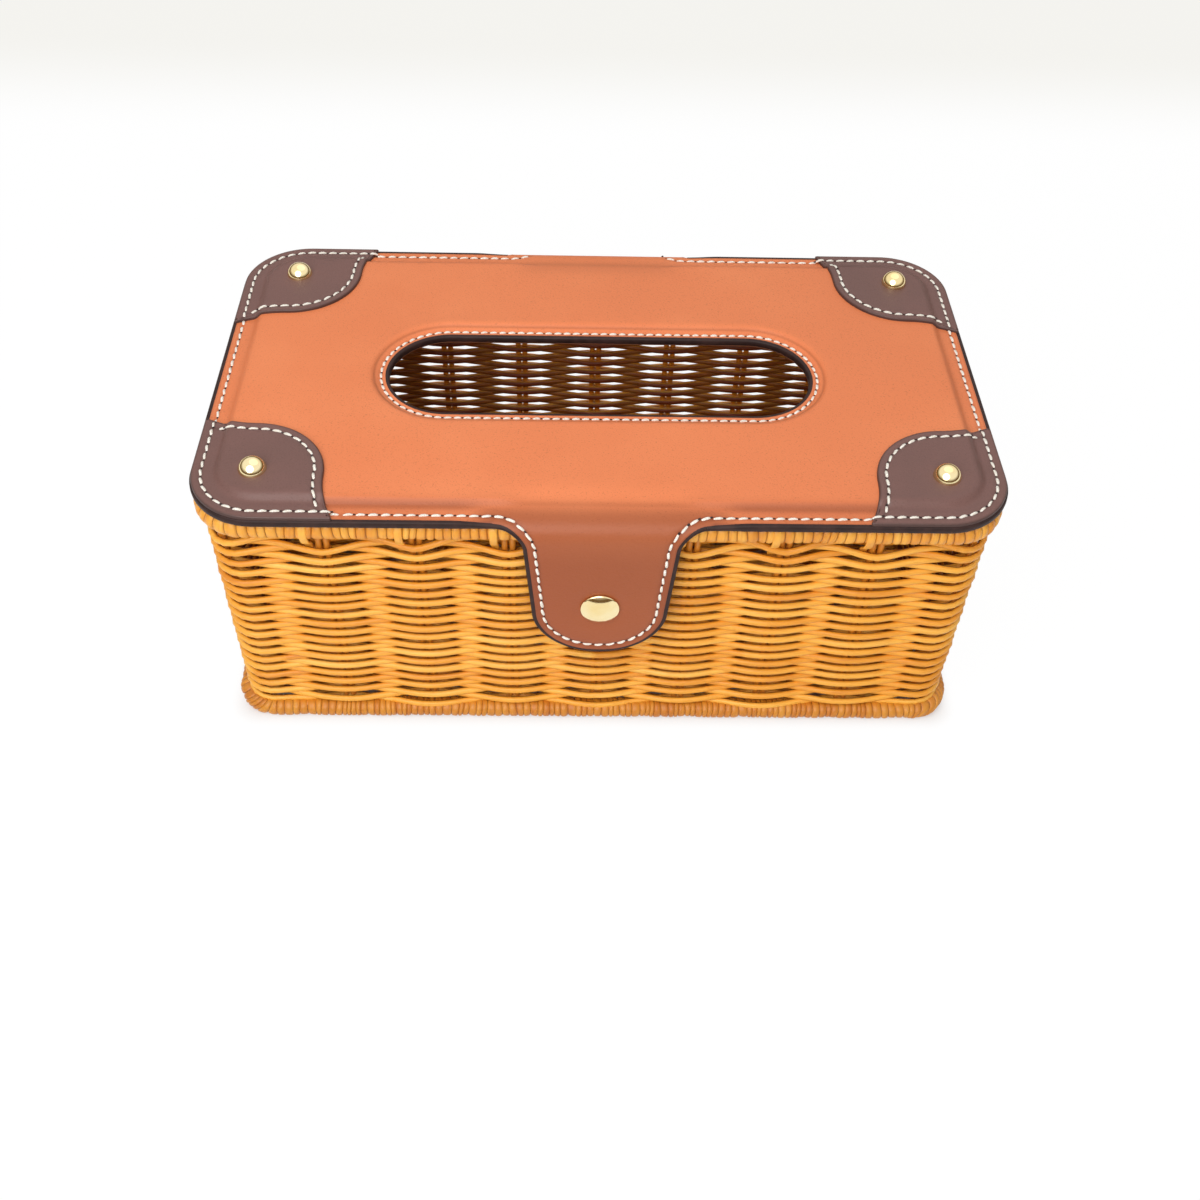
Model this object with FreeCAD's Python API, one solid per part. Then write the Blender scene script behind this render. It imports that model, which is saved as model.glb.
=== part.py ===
import FreeCAD, Part
import math
import os

# Woven tissue box with a hinged leather lid, in millimetres.
# Origin on the table under the middle of the box, X along the box, front at -Y, Z up.

V = FreeCAD.Vector
AXIS_X = V(1, 0, 0)
AXIS_Y = V(0, 1, 0)
AXIS_Z = V(0, 0, 1)

# Overall box, measured over the two wrapped rims
box_length = 250.0
box_width = 140.0
cut_overrun = 5.0
seat_gap = 0.05

# Wrapped rims
rim_diameter = 7.5
rim_core_diameter = 5.0
rim_core_clearance = 0.1
top_rim_axis_height = 90.2
top_rim_corner_radius = 18.0
bottom_rim_corner_radius = 14.0
bottom_rim_flat = 0.5

# Woven wall and its upright stakes
wall_inset = 2.8
wall_thickness = 6.5
wall_corner_radius = 12.0
wall_top_gap = 4.4
stake_diameter = 2.0
stake_clearance = 0.1
stake_pair_spacing = 2.5
long_side_stakes = 7
short_side_stakes = 3
stake_end_gap = 33.45
weave_rows = 36
float_run = 10.0
tie_width = 2.5
tie_thickness = 0.9
tie_offset = 4.2

# Woven base
base_floor_gap = 0.9
base_edge_gap = 0.3
base_stick_clearance = 0.1
base_rows = 59

# Leather lid, which ends flush with the rims and overhangs them a little at front and back
lid_end_overhang = 0.0
lid_side_overhang = 0.5
lid_corner_radius = 21.5
lid_clearance = 0.3
leather_thickness = 1.3
lining_thickness = 1.2
board_thickness = 1.8
board_inset = 9.5
board_side_gap = 0.2
panel_edge_round = 1.0
slot_length = 139.5
slot_width = 40.0
slot_board_margin = 6.5

# Corner patches and their dome rivets
patch_reach = 45.0
patch_bulge_radius = 23.0
patch_flare = 4.5
patch_thickness = 1.2
rivet_inset = 19.2
rivet_dome_diameter = 8.3
rivet_dome_height = 4.0
rivet_shank_diameter = 3.0
shank_clearance = 0.05
rivet_washer_diameter = 8.0
washer_thickness = 0.8

# Front tab and back strap, which hang from the top rim; the strap is the shorter one
fold_gap = 0.3
tab_axis_drop = 2.2
tongue_neck_width = 46.4
tongue_low_width = 42.0
tongue_shoulder_radius = 8.8
tongue_reach = 49.2
tongue_tip_rise = 19.0
tip_corner_width_share = 0.80
tip_corner_rise_share = 0.40
tip_bottom_width_share = 0.38
tip_bottom_rise_share = 0.07
strap_reach = 27.7
strap_tip_rise = 14.0
strap_bend_drop = 0.8
strap_slope_height = 6.0

# Magnetic snap on the tab and its keeper on the wall
snap_drop = 28.7
snap_cap_diameter = 12.5
snap_cap_dome = 1.6
snap_shank_diameter = 3.0
snap_magnet_diameter = 11.0
snap_magnet_thickness = 1.0
snap_air_gap = 0.3
keeper_prong_diameter = 1.6
keeper_prong_spacing = 7.6
keeper_washer_diameter = 12.5

# Rivets that hold the back strap to the wall
strap_rivet_row = 32
strap_rivet_spacing = 18.0
strap_rivet_diameter = 9.5
strap_rivet_dome = 1.4
strap_shank_diameter = 2.0
strap_washer_diameter = 9.0

# Worked-out sizes of the basket
rim_radius = rim_diameter / 2
rim_half_length = box_length / 2 - rim_radius
rim_half_width = box_width / 2 - rim_radius
bottom_rim_axis_height = rim_radius - bottom_rim_flat
bottom_rim_top = bottom_rim_axis_height + rim_radius
top_rim_bottom = top_rim_axis_height - rim_radius
wall_half_length = box_length / 2 - wall_inset
wall_half_width = box_width / 2 - wall_inset
wall_inner_half_width = wall_half_width - wall_thickness
wall_middle_half_length = wall_half_length - wall_thickness / 2
wall_middle_half_width = wall_half_width - wall_thickness / 2
long_side_pitch = 2 * (wall_middle_half_length - stake_end_gap) / (long_side_stakes - 1)
short_side_pitch = 2 * (wall_middle_half_width - stake_end_gap) / (short_side_stakes - 1)
wall_bottom = bottom_rim_top + seat_gap
wall_top = top_rim_bottom - wall_top_gap
wall_bend_radius = wall_corner_radius - wall_thickness / 2
weave_row_height = (wall_top - wall_bottom) / weave_rows
strand_thickness = (wall_thickness - stake_diameter) / 2 - stake_clearance
strand_offset = (wall_thickness - strand_thickness) / 2
base_half_length = rim_half_length - rim_radius - base_edge_gap
base_half_width = rim_half_width - rim_radius - base_edge_gap
base_corner_radius = bottom_rim_corner_radius - rim_diameter - base_edge_gap
base_stick_height = (base_floor_gap + bottom_rim_top) / 2
base_row_width = 2 * base_half_width / base_rows
base_strand_thickness = (bottom_rim_top - base_floor_gap - stake_diameter) / 2 - base_stick_clearance
base_strand_offset = (stake_diameter + base_strand_thickness) / 2 + base_stick_clearance

# Worked-out sizes of the lid, tab and strap
lid_length = box_length + 2 * lid_end_overhang
lid_width = box_width + 2 * lid_side_overhang
sheet_thickness = leather_thickness + lining_thickness
lid_bottom = top_rim_axis_height + rim_radius + lid_clearance
lining_top = lid_bottom + lining_thickness
border_top = lining_top + leather_thickness
board_top = lining_top + board_thickness
panel_top = board_top + leather_thickness
panel_inset = board_inset - board_side_gap - leather_thickness
panel_slot_margin = slot_board_margin - board_side_gap - leather_thickness
patch_top = panel_top + patch_thickness
fold_inner_radius = rim_radius + lid_clearance
fold_outer_radius = fold_inner_radius + sheet_thickness
tab_inner_y = -(rim_half_width + fold_inner_radius)
tab_middle_y = tab_inner_y - lining_thickness
tab_outer_y = tab_inner_y - sheet_thickness
tab_axis_y = tab_inner_y - sheet_thickness / 2
tab_axis_height = top_rim_axis_height - tab_axis_drop
lip_end_height = tab_axis_height + sheet_thickness / 2 + fold_gap
tongue_tip_height = top_rim_axis_height - tongue_reach
snap_height = top_rim_axis_height - snap_drop
strap_tip_height = top_rim_axis_height - strap_reach
strap_rivet_height = wall_bottom + strap_rivet_row * weave_row_height
strap_top_y = -tab_inner_y
strap_axis_y = strap_top_y + sheet_thickness / 2
strap_axis_height = lid_bottom + sheet_thickness / 2
strap_bend_height = top_rim_bottom - strap_bend_drop
strap_seat_height = strap_bend_height - strap_slope_height
lid_back_end = strap_axis_y - sheet_thickness / 2 - fold_gap
shoulder_reach = tongue_neck_width / 2 + tongue_shoulder_radius
lid_edge_fold = lid_width / 2 - rim_half_width
shoulder_height = top_rim_axis_height + math.sqrt(fold_outer_radius**2 - lid_edge_fold**2)


def line(start, end):
    return Part.LineSegment(start, end).toShape()


def arc(start, middle, end):
    return Part.Arc(start, middle, end).toShape()


def rounded_outline(half_x, half_y, radius, height):
    # Rounded rectangle, run anticlockwise from the front right corner
    edges = []
    diagonal = radius * math.sqrt(0.5)
    centres = [(1, -1), (1, 1), (-1, 1), (-1, -1)]
    joints = []
    for side_x, side_y in centres:
        centre = V(side_x * (half_x - radius), side_y * (half_y - radius), height)
        on_y = centre + V(0, side_y * radius, 0)
        on_x = centre + V(side_x * radius, 0, 0)
        middle = centre + V(side_x * diagonal, side_y * diagonal, 0)
        start, end = (on_y, on_x) if side_x * side_y < 0 else (on_x, on_y)
        joints.append((start, middle, end))
    for place, (start, middle, end) in enumerate(joints):
        edges.append(arc(start, middle, end))
        following = joints[(place + 1) % len(joints)][0]
        if (following - end).Length > seat_gap:
            edges.append(line(end, following))
    return Part.Wire(edges)


def rounded_plate(half_x, half_y, radius, bottom, top):
    face = Part.Face(rounded_outline(half_x, half_y, radius, bottom))
    return face.extrude(AXIS_Z * (top - bottom))


def box_between(low, high):
    size = high - low
    return Part.makeBox(size.x, size.y, size.z, low)


def rod(start, end, diameter):
    run = end - start
    return Part.makeCylinder(diameter / 2, run.Length, start, run)


def lid_plate(inset, bottom, top):
    return rounded_plate(
        lid_length / 2 - inset, lid_width / 2 - inset, lid_corner_radius - inset, bottom, top
    )


def slot_plug(margin, bottom, top):
    radius = slot_width / 2 + margin
    return rounded_plate(slot_length / 2 + margin, radius, radius, bottom, top)


def rod_ring(half_x, half_y, corner_radius, height, diameter):
    # Round bar bent into a closed rounded rectangle
    pieces = []
    straight_x = half_x - corner_radius
    straight_y = half_y - corner_radius
    for side in (1, -1):
        along_x = V(-straight_x, side * half_y, height)
        pieces.append(rod(along_x, along_x + AXIS_X * 2 * straight_x, diameter))
        along_y = V(side * half_x, -straight_y, height)
        pieces.append(rod(along_y, along_y + AXIS_Y * 2 * straight_y, diameter))
    quarters = [(1, 1, 0), (-1, 1, 90), (-1, -1, 180), (1, -1, 270)]
    for side_x, side_y, turn in quarters:
        bend = Part.makeTorus(corner_radius, diameter / 2, V(0, 0, 0), AXIS_Z, -180, 180, 90)
        bend.rotate(V(0, 0, 0), AXIS_Z, turn)
        bend.translate(V(side_x * straight_x, side_y * straight_y, height))
        pieces.append(bend)
    return pieces[0].multiFuse(pieces[1:]).removeSplitter()


def dome_rivet(dome_diameter, dome_height, shank_diameter, shank_length):
    # Head on the plane z = 0, shank below it
    half = dome_diameter / 2
    ball_radius = (half**2 + dome_height**2) / (2 * dome_height)
    ball = Part.makeSphere(ball_radius, V(0, 0, dome_height - ball_radius))
    head_space = Part.makeCylinder(dome_diameter, dome_diameter, V(0, 0, 0))
    shank = Part.makeCylinder(shank_diameter / 2, shank_length, V(0, 0, -shank_length))
    return ball.common(head_space).fuse(shank).removeSplitter()


def aimed(shape, position, direction):
    turned = shape.copy()
    turned.Placement = FreeCAD.Placement(position, FreeCAD.Rotation(AXIS_Z, direction))
    return turned


def washer(outer_diameter, hole_diameter, thickness):
    disc = Part.makeCylinder(outer_diameter / 2, thickness)
    return disc.cut(Part.makeCylinder(hole_diameter / 2, thickness))


def ring_rim(axis_height, corner_radius, diameter):
    return rod_ring(rim_half_length, rim_half_width, corner_radius - rim_radius, axis_height, diameter)


def rim_wrap(axis_height, corner_radius):
    bore = rim_core_diameter + 2 * rim_core_clearance
    outside = ring_rim(axis_height, corner_radius, rim_diameter)
    return outside.cut(ring_rim(axis_height, corner_radius, bore))


def bottom_rim_wrap():
    # The underside is worn flat where the box stands
    return rim_wrap(bottom_rim_axis_height, bottom_rim_corner_radius).common(above_table())


def above_table():
    reach = V(box_length, box_width, 0)
    return box_between(-reach, reach + AXIS_Z * box_width)


def stake_columns():
    # Middle of each column of stakes, with the direction in which its pair is spread
    columns = []
    for place in range(long_side_stakes):
        x = (place - (long_side_stakes - 1) / 2) * long_side_pitch
        for side in (-1, 1):
            columns.append((V(x, side * wall_middle_half_width, 0), AXIS_X))
    for place in range(short_side_stakes):
        y = (place - (short_side_stakes - 1) / 2) * short_side_pitch
        for side in (-1, 1):
            columns.append((V(side * wall_middle_half_length, y, 0), AXIS_Y))
    return columns


def corner_columns():
    inward = wall_bend_radius * (1 - math.sqrt(0.5))
    x = wall_middle_half_length - inward
    y = wall_middle_half_width - inward
    return [V(side_x * x, side_y * y, 0) for side_x in (-1, 1) for side_y in (-1, 1)]


def stake_places():
    places = corner_columns()
    for middle, spread in stake_columns():
        for side in (-1, 1):
            places.append(middle + spread * (side * stake_pair_spacing / 2))
    return places


def upright_rods(diameter, bottom, top):
    return [rod(p + AXIS_Z * bottom, p + AXIS_Z * top, diameter) for p in stake_places()]


def upright_stakes():
    return Part.makeCompound(upright_rods(stake_diameter, wall_bottom, top_rim_bottom - seat_gap))


def keeper_prong_places():
    return [side * keeper_prong_spacing / 2 for side in (-1, 1)]


def strap_rivet_places():
    return [side * strap_rivet_spacing / 2 for side in (-1, 1)]


def strand_wire(row, shift):
    # Closed line of one row: outside one stake column, inside the next, straight past each,
    # bent in the corners. The shift moves it from the strand's middle to one of its faces
    long_side = (wall_middle_half_length, wall_middle_half_width, long_side_stakes, long_side_pitch)
    short_side = (wall_middle_half_width, wall_middle_half_length, short_side_stakes, short_side_pitch)
    turns = [(AXIS_X, -AXIS_Y), (AXIS_Y, AXIS_X), (-AXIS_X, AXIS_Y), (-AXIS_Y, -AXIS_X)]
    columns = 2 * (long_side_stakes + short_side_stakes + 2)
    edges = []
    passed = 0

    def depth(column):
        return shift + strand_offset * (1 if (column + row) % 2 else -1)

    for (along, out), (half_run, distance, stakes, pitch) in zip(turns, [long_side, short_side] * 2):
        straight = half_run - wall_bend_radius
        points = [along * -straight + out * (distance + depth(passed + columns - 1))]
        for place in range(stakes):
            middle = along * ((place - (stakes - 1) / 2) * pitch) + out * (distance + depth(passed + place))
            points += [middle - along * (float_run / 2), middle + along * (float_run / 2)]
        passed += stakes
        reach = wall_bend_radius + depth(passed)
        centre = along * straight + out * (distance - wall_bend_radius)
        points.append(centre + out * reach)
        edges += [line(start, end) for start, end in zip(points, points[1:])]
        bend = centre + (along + out) * (reach * math.sqrt(0.5))
        edges.append(arc(points[-1], bend, centre + along * reach))
        passed += 1
    return Part.Wire(edges)


def wall_weave():
    # Rows of strands stacked in turn, joined where neighbours cross between the stakes
    bands = []
    for row in (0, 1):
        face = Part.Face(strand_wire(row, strand_thickness / 2))
        hollow = Part.Face(strand_wire(row, -strand_thickness / 2))
        bands.append(face.cut(hollow).Faces[0].extrude(AXIS_Z * weave_row_height))
    rows = []
    for row in range(weave_rows):
        strand = bands[row % 2].copy()
        strand.translate(AXIS_Z * (wall_bottom + row * weave_row_height))
        rows.append(strand)
    cuts = []
    for x in keeper_prong_places():
        low = V(x, -wall_half_width - cut_overrun, snap_height)
        high = V(x, -wall_inner_half_width + cut_overrun, snap_height)
        cuts.append(rod(low, high, keeper_prong_diameter + 2 * shank_clearance))
    for x in strap_rivet_places():
        low = V(x, wall_inner_half_width - cut_overrun, strap_rivet_height)
        high = V(x, wall_half_width + cut_overrun, strap_rivet_height)
        cuts.append(rod(low, high, strap_shank_diameter + 2 * shank_clearance))
    return rows[0].fuse(rows[1:]).cut(cuts)


def rim_ties():
    # Each strip stands beside its stakes, to their left as seen from outside
    strips = []
    size = V(tie_width, tie_thickness, top_rim_bottom - seat_gap - wall_top)
    for middle, spread in stake_columns():
        on_long_side = spread == AXIS_X
        across = V(0, rim_half_width, 0) if on_long_side else V(rim_half_length, 0, 0)
        depth = across if middle.dot(across) > 0 else -across
        centre = V(middle.x, depth.y, 0) if on_long_side else V(depth.x, middle.y, 0)
        centre = centre + (depth / depth.Length).cross(AXIS_Z) * tie_offset
        flat = size if on_long_side else V(size.y, size.x, size.z)
        low = centre - V(flat.x / 2, flat.y / 2, 0) + AXIS_Z * wall_top
        strips.append(box_between(low, low + flat))
    return Part.makeCompound(strips)


def base_stick_rods(diameter, half_span):
    rods = []
    for place in range(long_side_stakes):
        x = (place - (long_side_stakes - 1) / 2) * long_side_pitch
        for side in (-1, 1):
            start = V(x + side * stake_pair_spacing / 2, -half_span, base_stick_height)
            rods.append(rod(start, start + AXIS_Y * 2 * half_span, diameter))
    return rods


def base_strand_face(row, y):
    # Side view of one row of the base: over one pair of sticks, under the next, straight past each
    lines = []
    for shift in (-base_strand_thickness / 2, base_strand_thickness / 2):
        points = []
        for place in range(-1, long_side_stakes + 1):
            x = (place - (long_side_stakes - 1) / 2) * long_side_pitch
            z = base_stick_height + shift + base_strand_offset * (1 if (place + row) % 2 else -1)
            points += [V(x - float_run / 2, y, z), V(x + float_run / 2, y, z)]
        points[0].x = -base_half_length
        points[-1].x = base_half_length
        lines.append(points)
    ring = lines[0] + lines[1][::-1]
    return Part.Face(Part.makePolygon(ring + ring[:1]))


def base_weave():
    rows = []
    for row in range(base_rows):
        y = row * base_row_width - base_half_width
        rows.append(base_strand_face(row, y).extrude(AXIS_Y * base_row_width))
    outline = rounded_plate(
        base_half_length, base_half_width, base_corner_radius, base_floor_gap, bottom_rim_top
    )
    return rows[0].fuse(rows[1:]).common(outline)


def base_sticks():
    return Part.makeCompound(base_stick_rods(stake_diameter, base_half_width))


def rivet_places():
    x = lid_length / 2 - rivet_inset
    y = lid_width / 2 - rivet_inset
    return [V(side_x * x, side_y * y, 0) for side_x in (-1, 1) for side_y in (-1, 1)]


def rivet_holes():
    low = AXIS_Z * (lid_bottom - cut_overrun)
    high = AXIS_Z * (patch_top + cut_overrun)
    bore = rivet_shank_diameter + 2 * shank_clearance
    return [rod(p + low, p + high, bore) for p in rivet_places()]


def front_fold_space():
    low = V(-shoulder_reach, -lid_width, lid_bottom - cut_overrun)
    return box_between(low, V(shoulder_reach, -rim_half_width, panel_top))


def back_fold_space():
    reach = shoulder_reach + fold_gap
    low = V(-reach, lid_back_end, lid_bottom - cut_overrun)
    return box_between(low, V(reach, lid_width, patch_top))


def front_lip(inner_radius, outer_radius):
    # Sheet that rolls over the front rim from the lid's plane and ends just above the tab's fold
    start = V(-shoulder_reach, -rim_half_width, top_rim_axis_height)
    along = AXIS_X * 2 * shoulder_reach
    roll = Part.makeCylinder(outer_radius, along.Length, start, along)
    roll = roll.cut(Part.makeCylinder(inner_radius, along.Length, start, along))
    low = V(-shoulder_reach, -rim_half_width - outer_radius, top_rim_axis_height)
    quarter = box_between(low, V(shoulder_reach, -rim_half_width, top_rim_axis_height + outer_radius))
    drop_low = V(-shoulder_reach, -rim_half_width - outer_radius, lip_end_height)
    drop_high = V(shoulder_reach, -rim_half_width - inner_radius, top_rim_axis_height)
    lip = roll.common(quarter).fuse(box_between(drop_low, drop_high))
    beyond_low = V(-2 * shoulder_reach, -lid_width, lip_end_height - cut_overrun)
    beyond_high = V(2 * shoulder_reach, -lid_width / 2, panel_top)
    trim = box_between(beyond_low, beyond_high).cut(tab_prism())
    return lip.cut(trim).removeSplitter()


def tongue_prism(y_low, y_high, tip_height, tip_rise):
    # Outline seen from the front: wide at the lid, hollow shoulders, tapering sides, round tip
    neck = tongue_neck_width / 2
    low = tongue_low_width / 2
    top = panel_top + cut_overrun
    side_end = tip_height + tip_rise
    hollow = tongue_shoulder_radius * (1 - math.sqrt(0.5))
    right = [
        V(shoulder_reach, y_low, top),
        V(shoulder_reach, y_low, shoulder_height),
        V(neck + hollow, y_low, shoulder_height - hollow),
        V(neck, y_low, shoulder_height - tongue_shoulder_radius),
        V(low, y_low, side_end),
        V(low * tip_corner_width_share, y_low, tip_height + tip_rise * tip_corner_rise_share),
        V(low * tip_bottom_width_share, y_low, tip_height + tip_rise * tip_bottom_rise_share),
    ]
    left = [V(-point.x, point.y, point.z) for point in right]
    tip = V(0, y_low, tip_height)
    edges = [
        line(left[0], right[0]),
        line(right[0], right[1]),
        arc(right[1], right[2], right[3]),
        line(right[3], right[4]),
        arc(right[4], right[5], right[6]),
        arc(right[6], tip, left[6]),
        arc(left[6], left[5], left[4]),
        line(left[4], left[3]),
        arc(left[3], left[2], left[1]),
        line(left[1], left[0]),
    ]
    return Part.Face(Part.Wire(edges)).extrude(AXIS_Y * (y_high - y_low))


def tab_prism():
    return tongue_prism(-lid_width, 0, tongue_tip_height, tongue_tip_rise)


def lid_lining():
    plate = lid_plate(0, lid_bottom, lining_top).cut(slot_plug(0, lid_bottom, lining_top))
    plate = plate.cut([front_fold_space(), back_fold_space()])
    lip = front_lip(fold_inner_radius, fold_inner_radius + lining_thickness)
    return plate.fuse(lip).cut(rivet_holes()).removeSplitter()


def lid_board():
    plate = lid_plate(board_inset, lining_top, board_top)
    hole = slot_plug(slot_board_margin, lining_top, board_top)
    return plate.cut([hole] + rivet_holes())


def raised_panel(growth, bottom, top):
    # Step of the leather over the board, with a rounded upper edge
    block = lid_plate(panel_inset - growth, bottom, top)
    block = block.cut(slot_plug(panel_slot_margin - growth, bottom, top))
    upper = [edge for edge in block.Edges if abs(edge.BoundBox.ZMin - top) < seat_gap]
    return block.makeFillet(panel_edge_round, upper)


def lid_leather():
    border = lid_plate(0, lining_top, border_top).cut(slot_plug(0, lining_top, border_top))
    border = border.cut([front_fold_space(), back_fold_space()])
    panel = raised_panel(0, lining_top, panel_top)
    body = border.fuse([panel, front_lip(fold_inner_radius + lining_thickness, fold_outer_radius)])
    pocket = lid_plate(board_inset - board_side_gap, lining_top, board_top)
    pocket = pocket.cut(slot_plug(slot_board_margin - board_side_gap, lining_top, board_top))
    return body.cut([pocket] + rivet_holes()).removeSplitter()


def patch_prism(side_x, side_y):
    # Corner outline: a round bulge in the middle that flares out at both ends
    corner = V(side_x * lid_length / 2, side_y * lid_width / 2, lining_top)
    bulge_centre = patch_reach - patch_bulge_radius - patch_flare
    tip = bulge_centre + patch_bulge_radius
    half_way = bulge_centre + patch_bulge_radius * math.sqrt(0.5)
    flare_radius = (bulge_centre**2 + patch_flare**2) / (2 * patch_flare)
    lean = math.asin(bulge_centre / flare_radius) / 2
    flare_in = flare_radius * (1 - math.cos(lean))
    flare_down = bulge_centre - flare_radius * math.sin(lean)

    def at(u, v):
        return corner + V(-side_x * u, -side_y * v, 0)

    edges = [
        line(at(0, 0), at(patch_reach, 0)),
        arc(at(patch_reach, 0), at(tip + flare_in, flare_down), at(tip, bulge_centre)),
        arc(at(tip, bulge_centre), at(half_way, half_way), at(bulge_centre, tip)),
        arc(at(bulge_centre, tip), at(flare_down, tip + flare_in), at(0, patch_reach)),
        line(at(0, patch_reach), at(0, 0)),
    ]
    return Part.Face(Part.Wire(edges)).extrude(AXIS_Z * (patch_top - lining_top))


def corner_patch(side_x, side_y):
    skin = lid_plate(0, border_top, border_top + patch_thickness)
    skin = skin.fuse(raised_panel(patch_thickness, border_top, patch_top))
    skin = skin.cut(raised_panel(0, lining_top, panel_top))
    return skin.common(patch_prism(side_x, side_y)).cut(rivet_holes())


def corner_rivets():
    length = patch_top - lid_bottom + washer_thickness
    rivet = dome_rivet(rivet_dome_diameter, rivet_dome_height, rivet_shank_diameter, length)
    return Part.makeCompound([aimed(rivet, p + AXIS_Z * patch_top, AXIS_Z) for p in rivet_places()])


def corner_rivet_washers():
    hole = rivet_shank_diameter + 2 * shank_clearance
    ring = washer(rivet_washer_diameter, hole, washer_thickness)
    low = AXIS_Z * (lid_bottom - washer_thickness)
    return Part.makeCompound([aimed(ring, p + low, AXIS_Z) for p in rivet_places()])


def tab_layer(y_low, y_high):
    # One layer of the hanging tab, with its share of the round fold at the top
    sheet = box_between(V(-shoulder_reach, tab_outer_y, 0), V(shoulder_reach, tab_inner_y, tab_axis_height))
    start = V(-shoulder_reach, tab_axis_y, tab_axis_height)
    fold = rod(start, start + AXIS_X * 2 * shoulder_reach, sheet_thickness)
    slab = box_between(V(-shoulder_reach, y_low, 0), V(shoulder_reach, y_high, panel_top))
    layer = sheet.fuse(fold).removeSplitter().common(slab).common(tab_prism())
    bore = snap_shank_diameter + 2 * shank_clearance
    hole = rod(V(0, -lid_width, snap_height), V(0, 0, snap_height), bore)
    return layer.cut(hole)


def snap_cap():
    cap = dome_rivet(snap_cap_diameter, snap_cap_dome, snap_shank_diameter, sheet_thickness)
    return aimed(cap, V(0, tab_outer_y, snap_height), -AXIS_Y)


def snap_magnet():
    disc = Part.makeCylinder(snap_magnet_diameter / 2, snap_magnet_thickness)
    return aimed(disc, V(0, tab_inner_y, snap_height), AXIS_Y)


def snap_keeper():
    # Disc on the wall's outer face, with two prongs through the weave
    face_y = tab_inner_y + snap_magnet_thickness + snap_air_gap
    disc = Part.makeCylinder(snap_magnet_diameter / 2, -wall_half_width - face_y)
    keeper = aimed(disc, V(0, face_y, snap_height), AXIS_Y)
    for x in keeper_prong_places():
        start = V(x, -wall_half_width, snap_height)
        end = V(x, -wall_inner_half_width + washer_thickness, snap_height)
        keeper = keeper.fuse(rod(start, end, keeper_prong_diameter))
    return keeper.removeSplitter()


def snap_washer():
    disc = Part.makeCylinder(keeper_washer_diameter / 2, washer_thickness)
    plate = aimed(disc, V(0, -wall_inner_half_width, snap_height), AXIS_Y)
    for x in keeper_prong_places():
        start = V(x, -wall_half_width, snap_height)
        end = V(x, wall_half_width, snap_height)
        plate = plate.cut(rod(start, end, keeper_prong_diameter + 2 * shank_clearance))
    return plate


def strap_layer(depth_low, depth_high):
    # One layer of the back strap: down past the rim, in to the wall, then flat on the wall
    slope = math.atan2(strap_top_y - wall_half_width, strap_slope_height)
    drop_share = math.tan(slope / 2)

    def face_line(depth):
        return [
            V(-shoulder_reach, strap_top_y + depth, strap_axis_height),
            V(-shoulder_reach, strap_top_y + depth, strap_bend_height - depth * drop_share),
            V(-shoulder_reach, wall_half_width + depth, strap_seat_height - depth * drop_share),
            V(-shoulder_reach, wall_half_width + depth, 0),
        ]

    ring = face_line(depth_low) + face_line(depth_high)[::-1]
    section = Part.Face(Part.makePolygon(ring + ring[:1]))
    start = V(-shoulder_reach, strap_axis_y, strap_axis_height)
    fold = rod(start, start + AXIS_X * 2 * shoulder_reach, sheet_thickness)
    upper_low = V(-shoulder_reach, strap_top_y + depth_low, strap_axis_height)
    upper_high = V(shoulder_reach, strap_top_y + depth_high, patch_top)
    body = section.extrude(AXIS_X * 2 * shoulder_reach)
    body = body.fuse(fold.common(box_between(upper_low, upper_high)))
    body = body.common(tongue_prism(0, lid_width, strap_tip_height, strap_tip_rise)).removeSplitter()
    holes = []
    for x in strap_rivet_places():
        middle = V(x, 0, strap_rivet_height)
        holes.append(rod(middle, middle + AXIS_Y * lid_width, strap_shank_diameter + 2 * shank_clearance))
    return body.cut(holes)


def strap_rivets():
    length = sheet_thickness + wall_thickness + washer_thickness
    rivet = dome_rivet(strap_rivet_diameter, strap_rivet_dome, strap_shank_diameter, length)
    head = wall_half_width + sheet_thickness
    places = [V(x, head, strap_rivet_height) for x in strap_rivet_places()]
    return Part.makeCompound([aimed(rivet, p, AXIS_Y) for p in places])


def strap_washers():
    ring = washer(strap_washer_diameter, strap_shank_diameter + 2 * shank_clearance, washer_thickness)
    places = [V(x, wall_inner_half_width, strap_rivet_height) for x in strap_rivet_places()]
    return Part.makeCompound([aimed(ring, p, -AXIS_Y) for p in places])


def all_parts():
    parts = {
        "wall_weave": wall_weave(),
        "upright_stakes": upright_stakes(),
        "base_weave": base_weave(),
        "base_sticks": base_sticks(),
        "top_rim_core": ring_rim(top_rim_axis_height, top_rim_corner_radius, rim_core_diameter),
        "top_rim_wrap": rim_wrap(top_rim_axis_height, top_rim_corner_radius),
        "rim_ties": rim_ties(),
        "bottom_rim_core": ring_rim(bottom_rim_axis_height, bottom_rim_corner_radius, rim_core_diameter),
        "bottom_rim_wrap": bottom_rim_wrap(),
        "snap_keeper": snap_keeper(),
        "snap_washer": snap_washer(),
        "back_strap_leather": strap_layer(lining_thickness, sheet_thickness),
        "back_strap_lining": strap_layer(0, lining_thickness),
        "strap_rivets": strap_rivets(),
        "strap_washers": strap_washers(),
        "lid_leather": lid_leather(),
        "lid_board": lid_board(),
        "lid_lining": lid_lining(),
        "corner_rivets": corner_rivets(),
        "corner_rivet_washers": corner_rivet_washers(),
        "tab_leather": tab_layer(tab_outer_y, tab_middle_y),
        "tab_lining": tab_layer(tab_middle_y, tab_inner_y),
        "snap_cap": snap_cap(),
        "snap_magnet": snap_magnet(),
    }
    for front_word, side_y in (("front", -1), ("back", 1)):
        for side_word, side_x in (("left", -1), ("right", 1)):
            parts[f"corner_patch_{front_word}_{side_word}"] = corner_patch(side_x, side_y)
    return parts


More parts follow.
